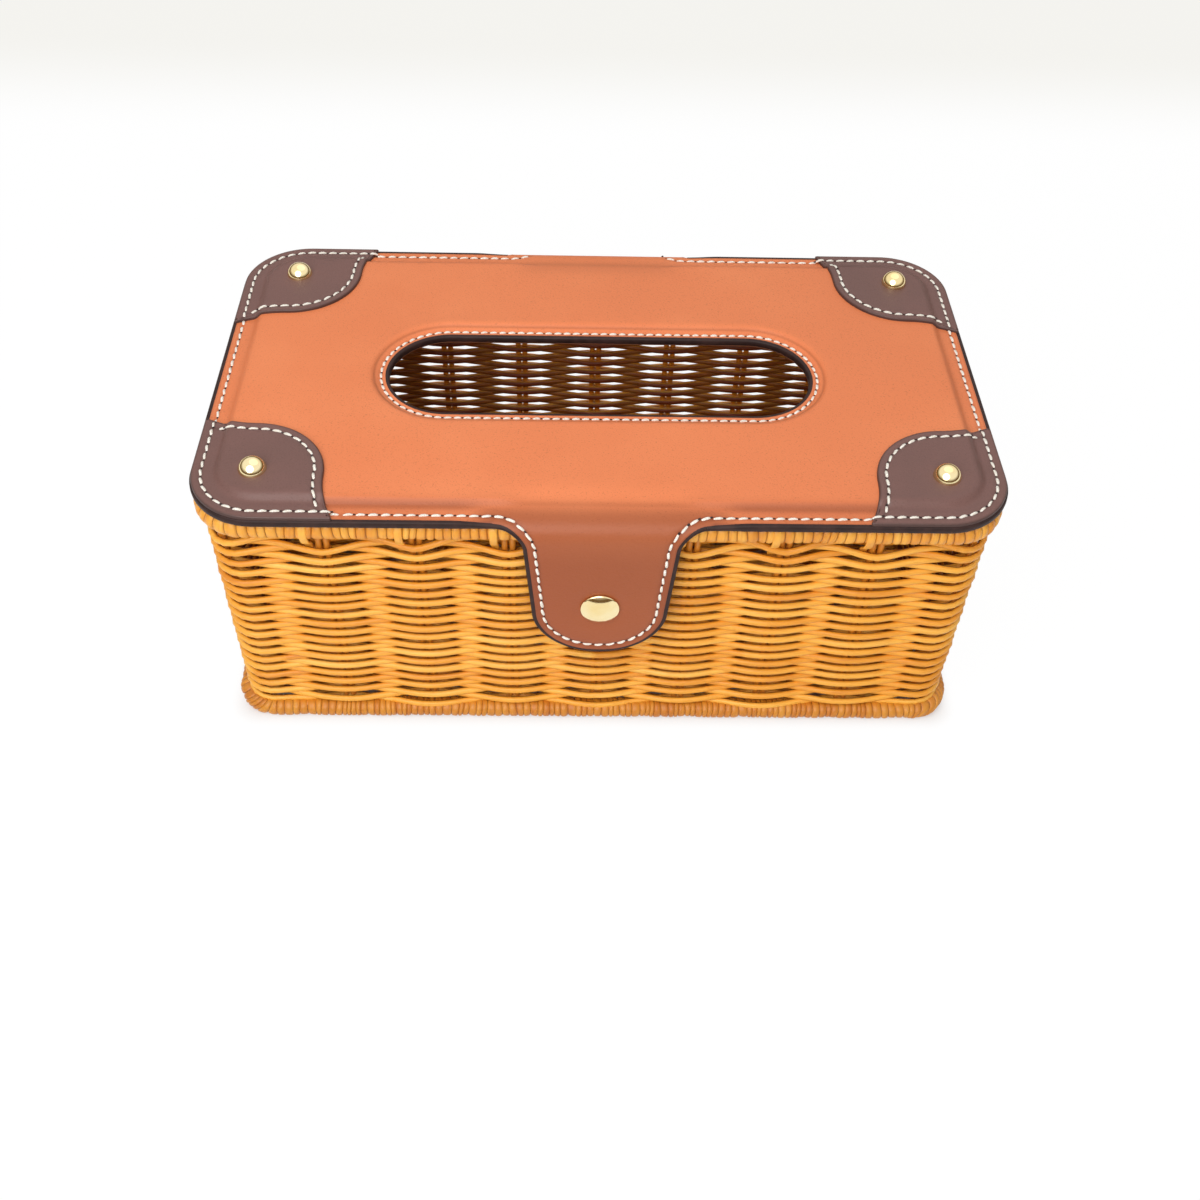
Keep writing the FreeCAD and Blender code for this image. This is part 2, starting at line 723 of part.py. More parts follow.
os.makedirs("parts", exist_ok=True)
for name, shape in all_parts().items():
    shape.exportStep(f"parts/{name}.step")
    print(name, len(shape.Solids), round(shape.Volume, 1), shape.isValid())
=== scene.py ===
import math

import bmesh
import bpy
import numpy as np
from mathutils import Matrix


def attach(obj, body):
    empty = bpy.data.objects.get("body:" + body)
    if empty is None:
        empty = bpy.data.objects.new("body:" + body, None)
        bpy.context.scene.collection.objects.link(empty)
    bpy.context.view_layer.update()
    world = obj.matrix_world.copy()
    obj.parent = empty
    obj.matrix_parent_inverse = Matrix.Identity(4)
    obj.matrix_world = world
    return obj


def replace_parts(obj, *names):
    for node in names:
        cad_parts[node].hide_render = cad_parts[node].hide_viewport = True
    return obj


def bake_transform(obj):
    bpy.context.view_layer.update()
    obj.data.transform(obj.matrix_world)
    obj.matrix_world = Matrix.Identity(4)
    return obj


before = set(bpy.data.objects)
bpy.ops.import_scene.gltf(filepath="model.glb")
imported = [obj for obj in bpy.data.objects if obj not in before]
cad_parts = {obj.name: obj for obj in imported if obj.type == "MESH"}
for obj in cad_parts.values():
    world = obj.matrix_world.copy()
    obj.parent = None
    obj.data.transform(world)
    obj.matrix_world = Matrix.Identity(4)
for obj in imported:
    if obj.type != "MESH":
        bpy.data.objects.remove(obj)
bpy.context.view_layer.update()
scene = bpy.context.scene
scene.view_settings.view_transform = "Standard"
rng = np.random.default_rng(11)
mm = 0.001  # shapes below are worked out in millimetres


# Sizes that the pieces share with the solids, in millimetres
box = {
    "rimHalf": (121.25, 66.25),
    "rimRadius": 3.75,
    "topRimHeight": 90.2,
    "topRimBend": 14.25,
    "bottomRimHeight": 3.25,
    "bottomRimBend": 10.25,
    "wallHalf": (118.95, 63.95),
    "wallBend": 8.75,
    "stakePitch": (28.5, 30.5),
    "stakeRadius": 1.0,
    "tieOffset": 4.2,
}
lid = {
    "half": (125.0, 70.5),
    "corner": 21.5,
    "border": 96.75,
    "raise": 1.8,
    "sheet": 2.5,
    "leather": 1.3,
    "lining": 1.15,
    "slotHalf": (69.75, 20.0),
    "stitchInset": 3.0,
    "slotStitch": 2.6,
    "patch": 1.2,
    "rivetInset": 19.2,
    "patchShape": (17.6, 23.1, 4.5),
}
tongue = {
    "reach": 32.0,
    "shoulder": 8.8,
    "shoulderHeight": 95.18,
    "neck": 23.2,
    "low": 21.0,
    "tipStart": 60.0,
    "tipRise": 19.0,
    "rollRadius": 6.55,
    "rollFade": 13.0,
    "snapHeight": 61.5,
    "face": 72.8,
    "backPower": 3.4,
    "backStart": 71.3,
}


def step(values, low, high):
    # Eases from 0 at low to 1 at high
    t = np.clip((values - low) / (high - low), 0, 1)
    return t * t * (3 - 2 * t)


def unit(vectors):
    return vectors / np.maximum(np.linalg.norm(vectors, axis=-1, keepdims=True), 1e-12)


def around(sides):
    # Even angles round a circle
    return np.arange(sides) * 2 * math.pi / sides


def squared(values, power):
    # Signed power: below 1 it makes the sides of a round section flatter
    return np.sign(values) * np.abs(values) ** power


def lengthsAlong(points):
    # Length of a line of points as far as each of them
    return np.concatenate([[0], np.cumsum(np.linalg.norm(np.diff(points, axis=0), axis=-1))])


def gridFaces(rows, columns, closed=False, flip=False, start=0):
    # Quads of a grid of points that is stored row by row
    i, j = np.meshgrid(np.arange(rows - 1), np.arange(columns if closed else columns - 1), indexing="ij")
    k = (j + 1) % columns
    quads = [i * columns + j, i * columns + k, (i + 1) * columns + k, (i + 1) * columns + j]
    faces = np.stack(quads[::-1] if flip else quads, -1).reshape(-1, 4)
    return faces + start


def tubeFaces(count, rings, sides):
    # Quads and end caps of open tubes that are stored one after another, ring by ring
    ids = np.arange(count * rings * sides).reshape(count, rings, sides)
    nextRound = np.roll(ids, -1, 2)
    quads = np.stack([ids[:, :-1], ids[:, 1:], nextRound[:, 1:], nextRound[:, :-1]], -1).reshape(-1, 4)
    return quads, np.concatenate([ids[:, 0, ::-1], ids[:, -1]])


def hoopFaces(count, rings, sides):
    # Quads of tubes that each close on themselves
    ids = np.arange(count * rings * sides).reshape(count, rings, sides)
    nextAlong, nextRound = np.roll(ids, -1, 1), np.roll(ids, -1, 2)
    return np.stack([ids, nextAlong, np.roll(nextAlong, -1, 2), nextRound], -1).reshape(-1, 4)


def addObject(name, data):
    made = bpy.data.objects.new(name, data)
    scene.collection.objects.link(made)
    return made


def addPiece(name, points, faces, material, merge=False, **layers):
    # A mesh from arrays of points in millimetres, index arrays of faces, and named point layers
    mesh = bpy.data.meshes.new(name)
    points = np.asarray(points, np.float32).reshape(-1, 3) * mm
    sizes = np.concatenate([np.full(len(f), f.shape[1]) for f in faces])
    corners = np.concatenate([f.ravel() for f in faces]).astype(np.int32)
    mesh.vertices.add(len(points))
    mesh.vertices.foreach_set("co", points.ravel())
    mesh.loops.add(len(corners))
    mesh.loops.foreach_set("vertex_index", corners)
    mesh.polygons.add(len(sizes))
    mesh.polygons.foreach_set("loop_start", (np.cumsum(sizes) - sizes).astype(np.int32))
    mesh.polygons.foreach_set("use_smooth", np.ones(len(sizes), bool))
    mesh.update(calc_edges=True)
    for key, values in layers.items():
        values = np.asarray(values, np.float32)
        isVector = values.size == 3 * len(points)
        layer = mesh.attributes.new(key, "FLOAT_VECTOR" if isVector else "FLOAT", "POINT")
        layer.data.foreach_set("vector" if isVector else "value", values.ravel())
    if merge:
        work = bmesh.new()
        work.from_mesh(mesh)
        bmesh.ops.remove_doubles(work, verts=work.verts, dist=2e-6)
        work.to_mesh(mesh)
        work.free()
    mesh.validate()
    piece = addObject(name, mesh)
    mesh.materials.append(material)
    return piece


def faceOutwards(piece):
    work = bmesh.new()
    work.from_mesh(piece.data)
    bmesh.ops.recalc_face_normals(work, faces=work.faces)
    work.to_mesh(piece.data)
    work.free()


def thicken(piece, thickness):
    solid = piece.modifiers.new("thickness", "SOLIDIFY")
    solid.thickness = thickness * mm
    solid.offset = -1


def ringKeys(half, bend):
    # A rounded rectangle is a straight-sided base plus the bend radius along a turning normal
    a, b = half[0] - bend, half[1] - bend
    quarter = bend * math.pi / 2
    steps = [0, a, quarter, 2 * b, quarter, 2 * a, quarter, 2 * b, quarter, a]
    baseX = [0, a, a, a, a, -a, -a, -a, -a, 0]
    baseY = [-b, -b, -b, b, b, b, b, -b, -b, -b]
    turn = np.radians([-90, -90, 0, 0, 90, 90, 180, 180, 270, 270])
    return np.cumsum(steps), np.array(baseX), np.array(baseY), turn


def ringPath(half, bend, along):
    # Point and outward normal at a distance along the ring, from the front's middle anticlockwise
    keys, baseX, baseY, turn = ringKeys(half, bend)
    along = np.mod(along, keys[-1])
    angle = np.interp(along, keys, turn)
    normal = np.stack([np.cos(angle), np.sin(angle)], -1)
    point = np.stack([np.interp(along, keys, baseX), np.interp(along, keys, baseY)], -1) + bend * normal
    return point, normal


def ringLength(half, bend):
    return ringKeys(half, bend)[0][-1]


# Shader expressions
class Wire:
    def __init__(self, tree, socket=None):
        self.tree, self.socket = tree, socket

    def node(self, kind, settings=None, links=None, out=0):
        made = self.tree.nodes.new("ShaderNode" + kind)
        for key, value in (settings or {}).items():
            if key == "stops":
                ramp = made.color_ramp
                while len(ramp.elements) < len(value):
                    ramp.elements.new(0.5)
                for element, (place, colour) in zip(ramp.elements, value):
                    element.position, element.color = place, colour
            else:
                setattr(made, key, value)
        for key, value in (links or {}).items():
            if isinstance(value, Wire):
                self.tree.links.new(value.socket, made.inputs[key])
            else:
                made.inputs[key].default_value = value
        return Wire(self.tree, made.outputs[out] if made.outputs else None)

    def sum(self, operation, first, second):
        return self.node("Math", {"operation": operation}, {0: first, 1: second})

    def __add__(self, other):
        return self.sum("ADD", self, other)

    def __sub__(self, other):
        return self.sum("SUBTRACT", self, other)

    def __mul__(self, other):
        return self.sum("MULTIPLY", self, other)

    def __rsub__(self, other):
        return self.sum("SUBTRACT", other, self)

    __radd__ = __add__
    __rmul__ = __mul__

    def place(self):
        return self.node("TexCoord", out=3)

    def layer(self, name, out=2):
        return self.node("Attribute", {"attribute_name": name}, out=out)

    def ease(self, low, high):
        links = {"Value": self, "From Min": low, "From Max": high}
        return self.node("MapRange", {"interpolation_type": "SMOOTHSTEP"}, links)

    def mix(self, first, second):
        # This value fades the first colour into the second
        return self.node("Mix", {"data_type": "RGBA"}, {0: self, 6: first, 7: second}, 2)

    def stretch(self, scale):
        return self.node("VectorMath", {"operation": "MULTIPLY"}, {0: self, 1: scale})

    def noise(self, scale, detail=3.0, rough=0.55):
        links = {"Vector": self, "Scale": scale, "Detail": detail, "Roughness": rough}
        return self.node("TexNoise", {}, links)

    def cells(self, scale, feature="F1"):
        return self.node("TexVoronoi", {"feature": feature}, {"Vector": self, "Scale": scale})


def paint(red, green, blue):
    # Screen colour 0-255 as the linear colour that shaders take
    def linear(c):
        c = c / 255
        return c / 12.92 if c <= 0.04045 else ((c + 0.055) / 1.055) ** 2.4

    return (linear(red), linear(green), linear(blue), 1.0)


def newMaterial(name, **constants):
    # Material with one Principled shader whose named sockets get plain numbers
    material = bpy.data.materials.new(name)
    material.use_nodes = True
    tree = material.node_tree
    shader = tree.nodes["Principled BSDF"]
    for key, value in constants.items():
        shader.inputs[key.replace("_", " ")].default_value = value
    return material, Wire(tree), shader


def join(wire, shader, **sockets):
    for key, value in sockets.items():
        wire.tree.links.new(value.socket, shader.inputs[key.replace("_", " ")])


def bumpOf(wire, height, strength, distance):
    return wire.node("Bump", {}, {"Strength": strength, "Distance": distance, "Height": height})


def leatherMaterial(name, look):
    # Mottled colour, fine pebbled grain with pores, darker and smoother where the darkening layer is high,
    # which carries burnished edges and painted shade in seams, folds and on the tab
    material, wire, shader = newMaterial(name, Specular_IOR_Level=look["specular"])
    place = wire.place()
    burnish = wire.layer("burnish")
    cloud = place.noise(look["cloud"], 4.0)
    grain = place.cells(look["grain"], "SMOOTH_F1")
    pores = place.noise(look["grain"] * 1.9, 2.0)
    colour = cloud.ease(0.36, 0.68).mix(look["dark"], look["light"])
    colour = (pores.ease(0.56, 0.75) * 0.35).mix(colour, look["deep"])
    # edge burnish and painted shade: the darkening layer fades the colour into the deep tone
    colour = (burnish * look["burnish"]).mix(colour, look["deep"])
    height = grain * 0.7 + pores * 0.5
    join(
        wire,
        shader,
        Base_Color=colour,
        Roughness=look["rough"] + cloud * 0.16 - burnish * 0.05,
        Normal=bumpOf(wire, height, look["bump"], 0.0004),
    )
    return material


def rattanMaterial(name, look):
    # Long fibre streaks that follow the layer "strand", tone from the layer "tone", and painted shade from
    # the layer "groove", darker in grooves and on hidden sides
    material, wire, shader = newMaterial(name, Coat_Roughness=0.32, Specular_IOR_Level=0.45)
    strand = wire.layer("strand", 1)
    tone = wire.layer("tone")
    groove = wire.layer("groove")
    streak = strand.stretch((0.05, 1.6, 1.6)).noise(2.6, 4.0, 0.6)
    blotch = strand.stretch((0.045, 0.5, 0.5)).noise(1.3, 2.0)
    fibre = strand.stretch((0.16, 5.0, 5.0)).noise(3.0, 2.0)
    shade = tone * 0.55 + blotch * 0.55 - 0.06
    colour = shade.node("ValToRGB", {"stops": look["stops"]}, {"Fac": shade})
    colour = (streak.ease(0.5, 0.72) * 0.4).mix(colour, look["streak"])
    # painted shade: the colour fades into the deep tone where the layer "groove" is high
    colour = (groove * look["groove"]).mix(colour, look["deep"])
    join(
        wire,
        shader,
        Base_Color=colour,
        Roughness=0.4 + streak * 0.2,
        Coat_Weight=0.35 - groove * 0.3,
        Normal=bumpOf(wire, fibre * 0.6 + streak * 0.6, 0.35, 0.0003),
    )
    return material


def metalMaterial(name, colour, rough, scratch):
    # Polished plating with faint hairlines
    material, wire, shader = newMaterial(name, Metallic=1.0)
    place = wire.place()
    hair = place.stretch((60.0, 900.0, 900.0)).noise(3.0, 3.0)
    cloud = place.noise(120.0, 2.0)
    join(
        wire,
        shader,
        Base_Color=cloud.ease(0.3, 0.7).mix(colour[0], colour[1]),
        Roughness=rough + hair * scratch,
    )
    return material


def threadMaterial():
    # Cream twisted thread
    material, wire, shader = newMaterial("creamThread", Specular_IOR_Level=0.3)
    place = wire.place()
    twist = place.noise(2600.0, 2.0)
    colour = twist.ease(0.35, 0.65).mix(paint(236, 226, 208), paint(255, 252, 245))
    bump = bumpOf(wire, twist, 0.5, 0.0003)
    join(wire, shader, Base_Color=colour, Roughness=0.62 + twist * 0.15, Normal=bump)
    return material


def paintedEdgeMaterial():
    # Satin edge paint, slightly uneven
    material, wire, shader = newMaterial("edgePaint", Specular_IOR_Level=0.25)
    place = wire.place()
    cloud = place.noise(220.0, 3.0)
    colour = cloud.ease(0.35, 0.7).mix(paint(42, 25, 22), paint(58, 37, 33))
    bump = bumpOf(wire, cloud, 0.25, 0.0005)
    join(wire, shader, Base_Color=colour, Roughness=0.42 + cloud * 0.2, Normal=bump)
    return material


def boardMaterial():
    # Grey fibre board
    material, wire, shader = newMaterial("greyBoard")
    place = wire.place()
    fleck = place.noise(700.0, 4.0)
    colour = fleck.ease(0.35, 0.7).mix(paint(150, 146, 140), paint(184, 180, 172))
    join(wire, shader, Base_Color=colour, Roughness=0.8 + fleck * 0.1)
    return material


tanLeather = leatherMaterial(
    "tanLeather",
    {
        "light": paint(242, 141, 90),
        "dark": paint(236, 133, 82),
        "deep": paint(128, 56, 16),
        "cloud": 16.0,
        "grain": 1150.0,
        "rough": 0.44,
        "bump": 0.22,
        "burnish": 0.9,
        "specular": 0.42,
    },
)
brownLeather = leatherMaterial(
    "brownLeather",
    {
        "light": paint(122, 86, 79),
        "dark": paint(115, 81, 74),
        "deep": paint(60, 42, 38),
        "cloud": 30.0,
        "grain": 1150.0,
        "rough": 0.38,
        "bump": 0.24,
        "burnish": 0.8,
        "specular": 0.4,
    },
)
liningLeather = leatherMaterial(
    "liningLeather",
    {
        "light": paint(164, 108, 79),
        "dark": paint(159, 104, 76),
        "deep": paint(104, 62, 42),
        "cloud": 40.0,
        "grain": 2100.0,
        "rough": 0.7,
        "bump": 0.35,
        "burnish": 0.6,
        "specular": 0.25,
    },
)
strandRattan = rattanMaterial(
    "strandRattan",
    {
        "stops": [
            (0.1, paint(212, 122, 20)),
            (0.4, paint(239, 159, 38)),
            (0.65, paint(248, 178, 60)),
            (0.95, paint(255, 202, 96)),
        ],
        "streak": paint(208, 122, 34),
        "deep": paint(120, 48, 3),
        "groove": 0.88,
    },
)
caneRattan = rattanMaterial(
    "caneRattan",
    {
        "stops": [
            (0.1, paint(214, 126, 24)),
            (0.4, paint(238, 158, 42)),
            (0.65, paint(248, 179, 64)),
            (0.95, paint(255, 202, 98)),
        ],
        "streak": paint(206, 120, 34),
        "deep": paint(104, 46, 4),
        "groove": 0.85,
    },
)
rodRattan = rattanMaterial(
    "rodRattan",
    {
        "stops": [(0.1, paint(206, 124, 30)), (0.5, paint(230, 152, 46)), (0.9, paint(243, 174, 66))],
        "streak": paint(186, 108, 26),
        "deep": paint(98, 44, 4),
        "groove": 0.0,
    },
)
gold = metalMaterial("polishedGold", (paint(247, 222, 160), paint(251, 234, 186)), 0.07, 0.06)
steel = metalMaterial("magnetSteel", (paint(188, 188, 184), paint(206, 206, 202)), 0.25, 0.2)
thread = threadMaterial()
edgePaint = paintedEdgeMaterial()
board = boardMaterial()
print("materials made")


# Woven wall
weave = {
    "strandRadius": 1.08,
    "tall": 1.05,
    "rows": 37,
    "rowPitch": 75.0 / 36,
    "firstRow": 7.05 - 75.0 / 72,
    "flare": (1.7, 1.2, 0.75, 0.4, 0.15),  # how far the lowest rows stand out over the foot rim
    "flareStart": (5.0, 24.0),  # distances from a corner between which they come to do so
    "samples": 12,  # per gap between stakes
    "sides": 8,
    "peak": 1.25,
    "wander": 0.16,
    "wobble": (0.06, 0.1, 0.05),  # shares of swing, height and thickness that wobble
    "archRows": 6,
    "archRise": 3.1,
    "joints": 4,  # places in a row where a new strand takes over
    "tones": (0.25, 0.95),
    "inside": (0.25, 0.95),  # painted shade: darker behind the stakes and on the side that faces into the box
}


def stakeDistances():
    # Distances along the wall's middle line of all stake columns, corners included, from the front's middle
    half, bend = box["wallHalf"], box["wallBend"]
    keys = ringKeys(half, bend)[0]
    long, short = box["stakePitch"]
    front = [0, long, 2 * long, 3 * long]
    right = [(keys[1] + keys[2]) / 2] + [(keys[2] + keys[3]) / 2 + k * short for k in (-1, 0, 1)]
    back = [(keys[3] + keys[4]) / 2] + [(keys[4] + keys[5]) / 2 + k * long for k in range(-3, 4)]
    left = [(keys[5] + keys[6]) / 2] + [(keys[6] + keys[7]) / 2 + k * short for k in (-1, 0, 1)]
    last = [(keys[7] + keys[8]) / 2] + [keys[9] - k * long for k in (3, 2, 1)]
    return np.array(front + right + back + left + last + [keys[9]])


def waves(along, seed, count=5, shortest=60.0, longest=380.0):
    # Gentle repeatable wandering: a sum of sines of random length and phase, about one unit high
    draw = np.random.default_rng(seed)
    lengths = draw.uniform(shortest, longest, count)
    phases = draw.uniform(0, 2 * math.pi, count)
    return np.sin(along[..., None] * 2 * math.pi / lengths + phases).mean(-1) * math.sqrt(count / 2)


def hoops(centre, radius, sides, tall):
    # Tubes along closed rows of points: the section stands square to the run and the vertical
    turn = around(sides)
    run = np.roll(centre, -1, 1) - np.roll(centre, 1, 1)
    out = unit(np.cross(run, [0, 0, 1.0]))
    up = unit(np.cross(out, run))
    circle = np.cos(turn)[:, None] * out[:, :, None] + tall * np.sin(turn)[:, None] * up[:, :, None]
    return centre[:, :, None] + radius[..., None, None] * circle


def weaveWall():
    # Every row goes in and out of the wall's middle as a power of the cosine of its place between stakes,
    # and neighbouring rows are half a wave apart
    stakes = stakeDistances()
    columns = len(stakes) - 1
    place = np.arange(columns * weave["samples"]) / weave["samples"]
    along = np.interp(place, np.arange(columns + 1), stakes)
    point, normal = ringPath(box["wallHalf"], box["wallBend"], along)
    reach = box["stakeRadius"] + weave["strandRadius"]
    rows = np.arange(weave["rows"])
    swing = squared(np.cos(math.pi * (place[None] + rows[:, None])), weave["peak"])
    swingWobble, heightWobble, thickWobble = weave["wobble"]
    wander = np.stack([waves(along, 100 + k) for k in rows])
    wobble = np.stack([waves(along, 300 + k, 6, 22.0, 90.0) for k in rows])
    offset = reach * swing * (1 + swingWobble * wobble)
    cornerGap = np.linalg.norm(np.array(box["wallHalf"]) - np.abs(point), axis=-1)
    flare = np.array(weave["flare"])[:, None] * step(cornerGap, *weave["flareStart"])
    offset[: len(flare)] += flare
    between = np.abs(np.sin(math.pi * place))
    archStart = weave["rows"] - 1 - weave["archRows"]
    archShare = np.clip((rows - archStart) / weave["archRows"], 0, 1) ** 1.5
    height = weave["firstRow"] + weave["rowPitch"] * rows[:, None]
    height = height + weave["wander"] * wander + heightWobble * wobble
    height = height + weave["archRise"] * archShare[:, None] * (between**1.4)[None]
    centre = np.concatenate([point[None] + offset[..., None] * normal[None], height[..., None]], -1)
    thick = weave["strandRadius"] * (1 + thickWobble * wobble + rng.uniform(-0.05, 0.05, (len(rows), 1)))
    shape = hoops(centre, thick, weave["sides"], weave["tall"])
    turn = around(weave["sides"])
    joints = rng.uniform(0, 1, (len(rows), weave["joints"])) * stakes[-1]
    piecesTone = rng.uniform(*weave["tones"], (len(rows), weave["joints"] + 1))
    which = (along[None, :, None] > np.sort(joints, 1)[:, None, :]).sum(-1)
    tone = np.take_along_axis(piecesTone, which, 1) + 0.08 * wander
    strand = np.stack(
        np.broadcast_arrays(
            (along[None] + 700.0 * rows[:, None])[..., None],
            np.cos(turn)[None, None] + 3.0 * rows[:, None, None],
            np.sin(turn)[None, None] + 5.0 * which[..., None],
        ),
        -1,
    )
    # painted shade for the layer "groove": behind the stakes and on the strands' inner side
    behind, facing = weave["inside"]
    inward = behind * np.clip(-swing, 0, 1)[..., None] + facing * step(-np.cos(turn), 0.0, 0.8)
    half = (len(rows) + 1) // 2
    for name, part in (("wallStrandsLow", slice(0, half)), ("wallStrandsHigh", slice(half, None))):
        some = shape[part]
        piece = addPiece(
            name,
            some,
            [hoopFaces(*some.shape[:3])],
            strandRattan,
            strand=strand[part],
            tone=np.broadcast_to(tone[part][..., None], some.shape[:3]),
            groove=inward[part],
        )
        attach(piece, "basket")
        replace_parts(piece, "wall_weave")


weaveWall()
print("wall woven")


# Woven floor
floorWeave = {
    "strandRadius": 0.98,
    "rowPitch": 124.4 / 59,
    "halfX": 116.8,
    "halfY": 61.15,
    "height": 3.95,
    "cornerCut": (4.0, 6.0),  # the outer rows end short, by how much and over what width
    "tones": (0.25, 0.9),
    "samples": 7,  # per gap between sticks
    "sides": 6,
}


def weaveFloor():
    # Rows along the box that pass over and under the sticks as the cosine of their place between them
    rows = np.arange(-floorWeave["halfY"], floorWeave["halfY"] + 0.01, floorWeave["rowPitch"])
    samples = int(2 * floorWeave["halfX"] / box["stakePitch"][0] * floorWeave["samples"])
    x = np.linspace(-floorWeave["halfX"], floorWeave["halfX"], samples)
    index = np.arange(len(rows))
    swing = np.cos(math.pi * (x[None] / box["stakePitch"][0] + index[:, None]))
    reach = box["stakeRadius"] + floorWeave["strandRadius"]
    y = rows[:, None] + 0.1 * np.stack([waves(x, 500 + k) for k in index])
    cut, width = floorWeave["cornerCut"]
    cut = cut * np.clip((np.abs(rows) - (floorWeave["halfY"] - width)) / width, 0, 1) ** 2
    spread = 1 - cut[:, None] / floorWeave["halfX"]
    centre = np.stack(np.broadcast_arrays(x[None] * spread, y, floorWeave["height"] + reach * swing), -1)
    turn = around(floorWeave["sides"])
    circle = np.stack([0 * turn, -np.cos(turn), np.sin(turn)], -1)
    shape = centre[:, :, None] + floorWeave["strandRadius"] * circle
    faces = tubeFaces(*shape.shape[:3])
    tone = np.broadcast_to(rng.uniform(*floorWeave["tones"], (len(rows), 1, 1)), shape.shape[:3])
    along = (x[None] + 300.0 * index[:, None])[..., None]
    strand = np.stack(np.broadcast_arrays(along, np.cos(turn), np.sin(turn)), -1)
    piece = addPiece("floorStrands", shape, faces, strandRattan, strand=strand, tone=tone, groove=0 * tone)
    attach(piece, "basket")
    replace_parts(piece, "base_weave")


weaveFloor()
print("floor woven")


# Cane-wound rims
topRim = {
    "height": box["topRimHeight"],
    "bend": box["topRimBend"],
    "turn": 2.8,
    "spread": 0.32,
    "groove": 0.66,
    "power": 5.0,
    "slant": 0.5,
    "cornerLean": 0.0,
    "crown": 1.0,
    "uneven": 0.24,
    "tones": (0.1, 0.8),
    "shade": 0.04,
    "around": 18,
    "shares": (0.0, 0.06, 0.17, 0.5, 0.83, 0.94),
}
bottomRim = {
    "height": box["bottomRimHeight"],
    "bend": box["bottomRimBend"],
    "turn": 2.15,
    "spread": 0.45,
    "groove": 0.6,
    "power": 4.2,
    "slant": 0.5,
    "cornerLean": 2.2,
    "crown": 0.82,
    "uneven": 0.32,
    "tones": (-0.1, 0.5),
    "shade": 0.32,
    "around": 18,
    "shares": (0.0, 0.07, 0.22, 0.5, 0.78, 0.93),
}


def windRim(name, node, s, seed):
    # One strip of cane wound as a helix: the radius drops at each turn's two edges,
    # each turn has its own width, and the turns lean further in the corners
    draw = np.random.default_rng(seed)
    length = ringLength(box["rimHalf"], s["bend"])
    turns = int(length / s["turn"])
    widths = 1 + s["spread"] * draw.uniform(-1, 1, turns)
    edges = np.concatenate([[0], np.cumsum(widths * length / widths.sum())])
    shares = np.array(s["shares"])
    perTurn, sides = len(shares), s["around"]
    count = (np.arange(turns)[:, None] + shares[None]).ravel()
    phase = np.tile(shares, turns)
    back = np.arange(sides) / sides
    place = count[:, None] - back[None]
    angle = back * 2 * math.pi - math.pi / 2  # seam under the rim
    along = np.interp(np.mod(place, turns), np.arange(turns + 1), edges)
    lean = s["slant"] * (1 + 0.9 * waves(along, seed + 1, 6, 12.0, 60.0))
    bent = np.abs(ringPath(box["rimHalf"], s["bend"], along)[1].prod(-1)) * 2
    lean = lean + s["cornerLean"] * bent * (1 + 0.5 * waves(along, seed + 2, 4, 20.0, 50.0))
    along = along + lean * np.sin(angle)[None]
    point, normal = ringPath(box["rimHalf"], s["bend"], along)
    bulge = draw.uniform(-1, 1, turns + 1)
    bulge[-1] = bulge[0]
    swell = np.interp(np.mod(place, turns), np.arange(turns + 1), bulge) * s["uneven"]
    dip = np.abs(2 * phase - 1) ** s["power"]
    radius = box["rimRadius"] - 0.1 + np.minimum(swell, 0.1) - s["groove"] * dip[:, None]
    flat = point + (radius * np.cos(angle)[None])[..., None] * normal
    rise = np.where(np.sin(angle) > 0, s["crown"], 1.0) * np.sin(angle)
    height = np.maximum(s["height"] + radius * rise[None], 0.02)
    shape = np.concatenate([flat, height[..., None]], -1)
    total = len(count)
    ids = np.arange(total * sides).reshape(total, sides)
    wrapped = np.concatenate([ids, np.roll(ids[:, :1], perTurn, 0)], 1)
    nextAlong = np.roll(wrapped, -1, 0)
    quads = np.stack([wrapped[:, :-1], nextAlong[:, :-1], nextAlong[:, 1:], wrapped[:, 1:]], -1)
    tones = draw.uniform(*s["tones"], turns + 1)
    tones[-1] = tones[0]
    tone = np.interp(np.mod(place, turns), np.arange(turns + 1), tones)
    strand = np.stack([place * 22.0, 0.6 * np.broadcast_to(phase[:, None], place.shape), 0 * place], -1)
    # painted shade: darker in the grooves between turns, and at least "shade" over the whole rim
    groove = np.broadcast_to(np.maximum(step(dip, 0.3, 1.0), s["shade"])[:, None], place.shape)
    faces = [quads.reshape(-1, 4)]
    piece = addPiece(name, shape, faces, caneRattan, strand=strand, tone=tone, groove=groove)
    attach(piece, "basket")
    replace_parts(piece, node)


windRim("topRimCane", "top_rim_wrap", topRim, 21)
windRim("bottomRimCane", "bottom_rim_wrap", bottomRim, 37)
print("rims wound")


# Cane ties between rim and weave
tie = {
    "width": 2.5,
    "thick": 0.85,
    "samples": 36,
    "sides": 12,
    "tones": (0.4, 0.8),
    "onRim": (85, 60, 36, 12, -12),  # angles on the rim, then depths and heights below it
    "depths": (3.2, 2.6, 1.9, 1.1, 0.1, -1.1, -2.0, -2.3, -2.3),
    "heights": (88.1, 86.7, 85.5, 84.5, 83.5, 82.4, 81.0, 79.6, 78.2),
}


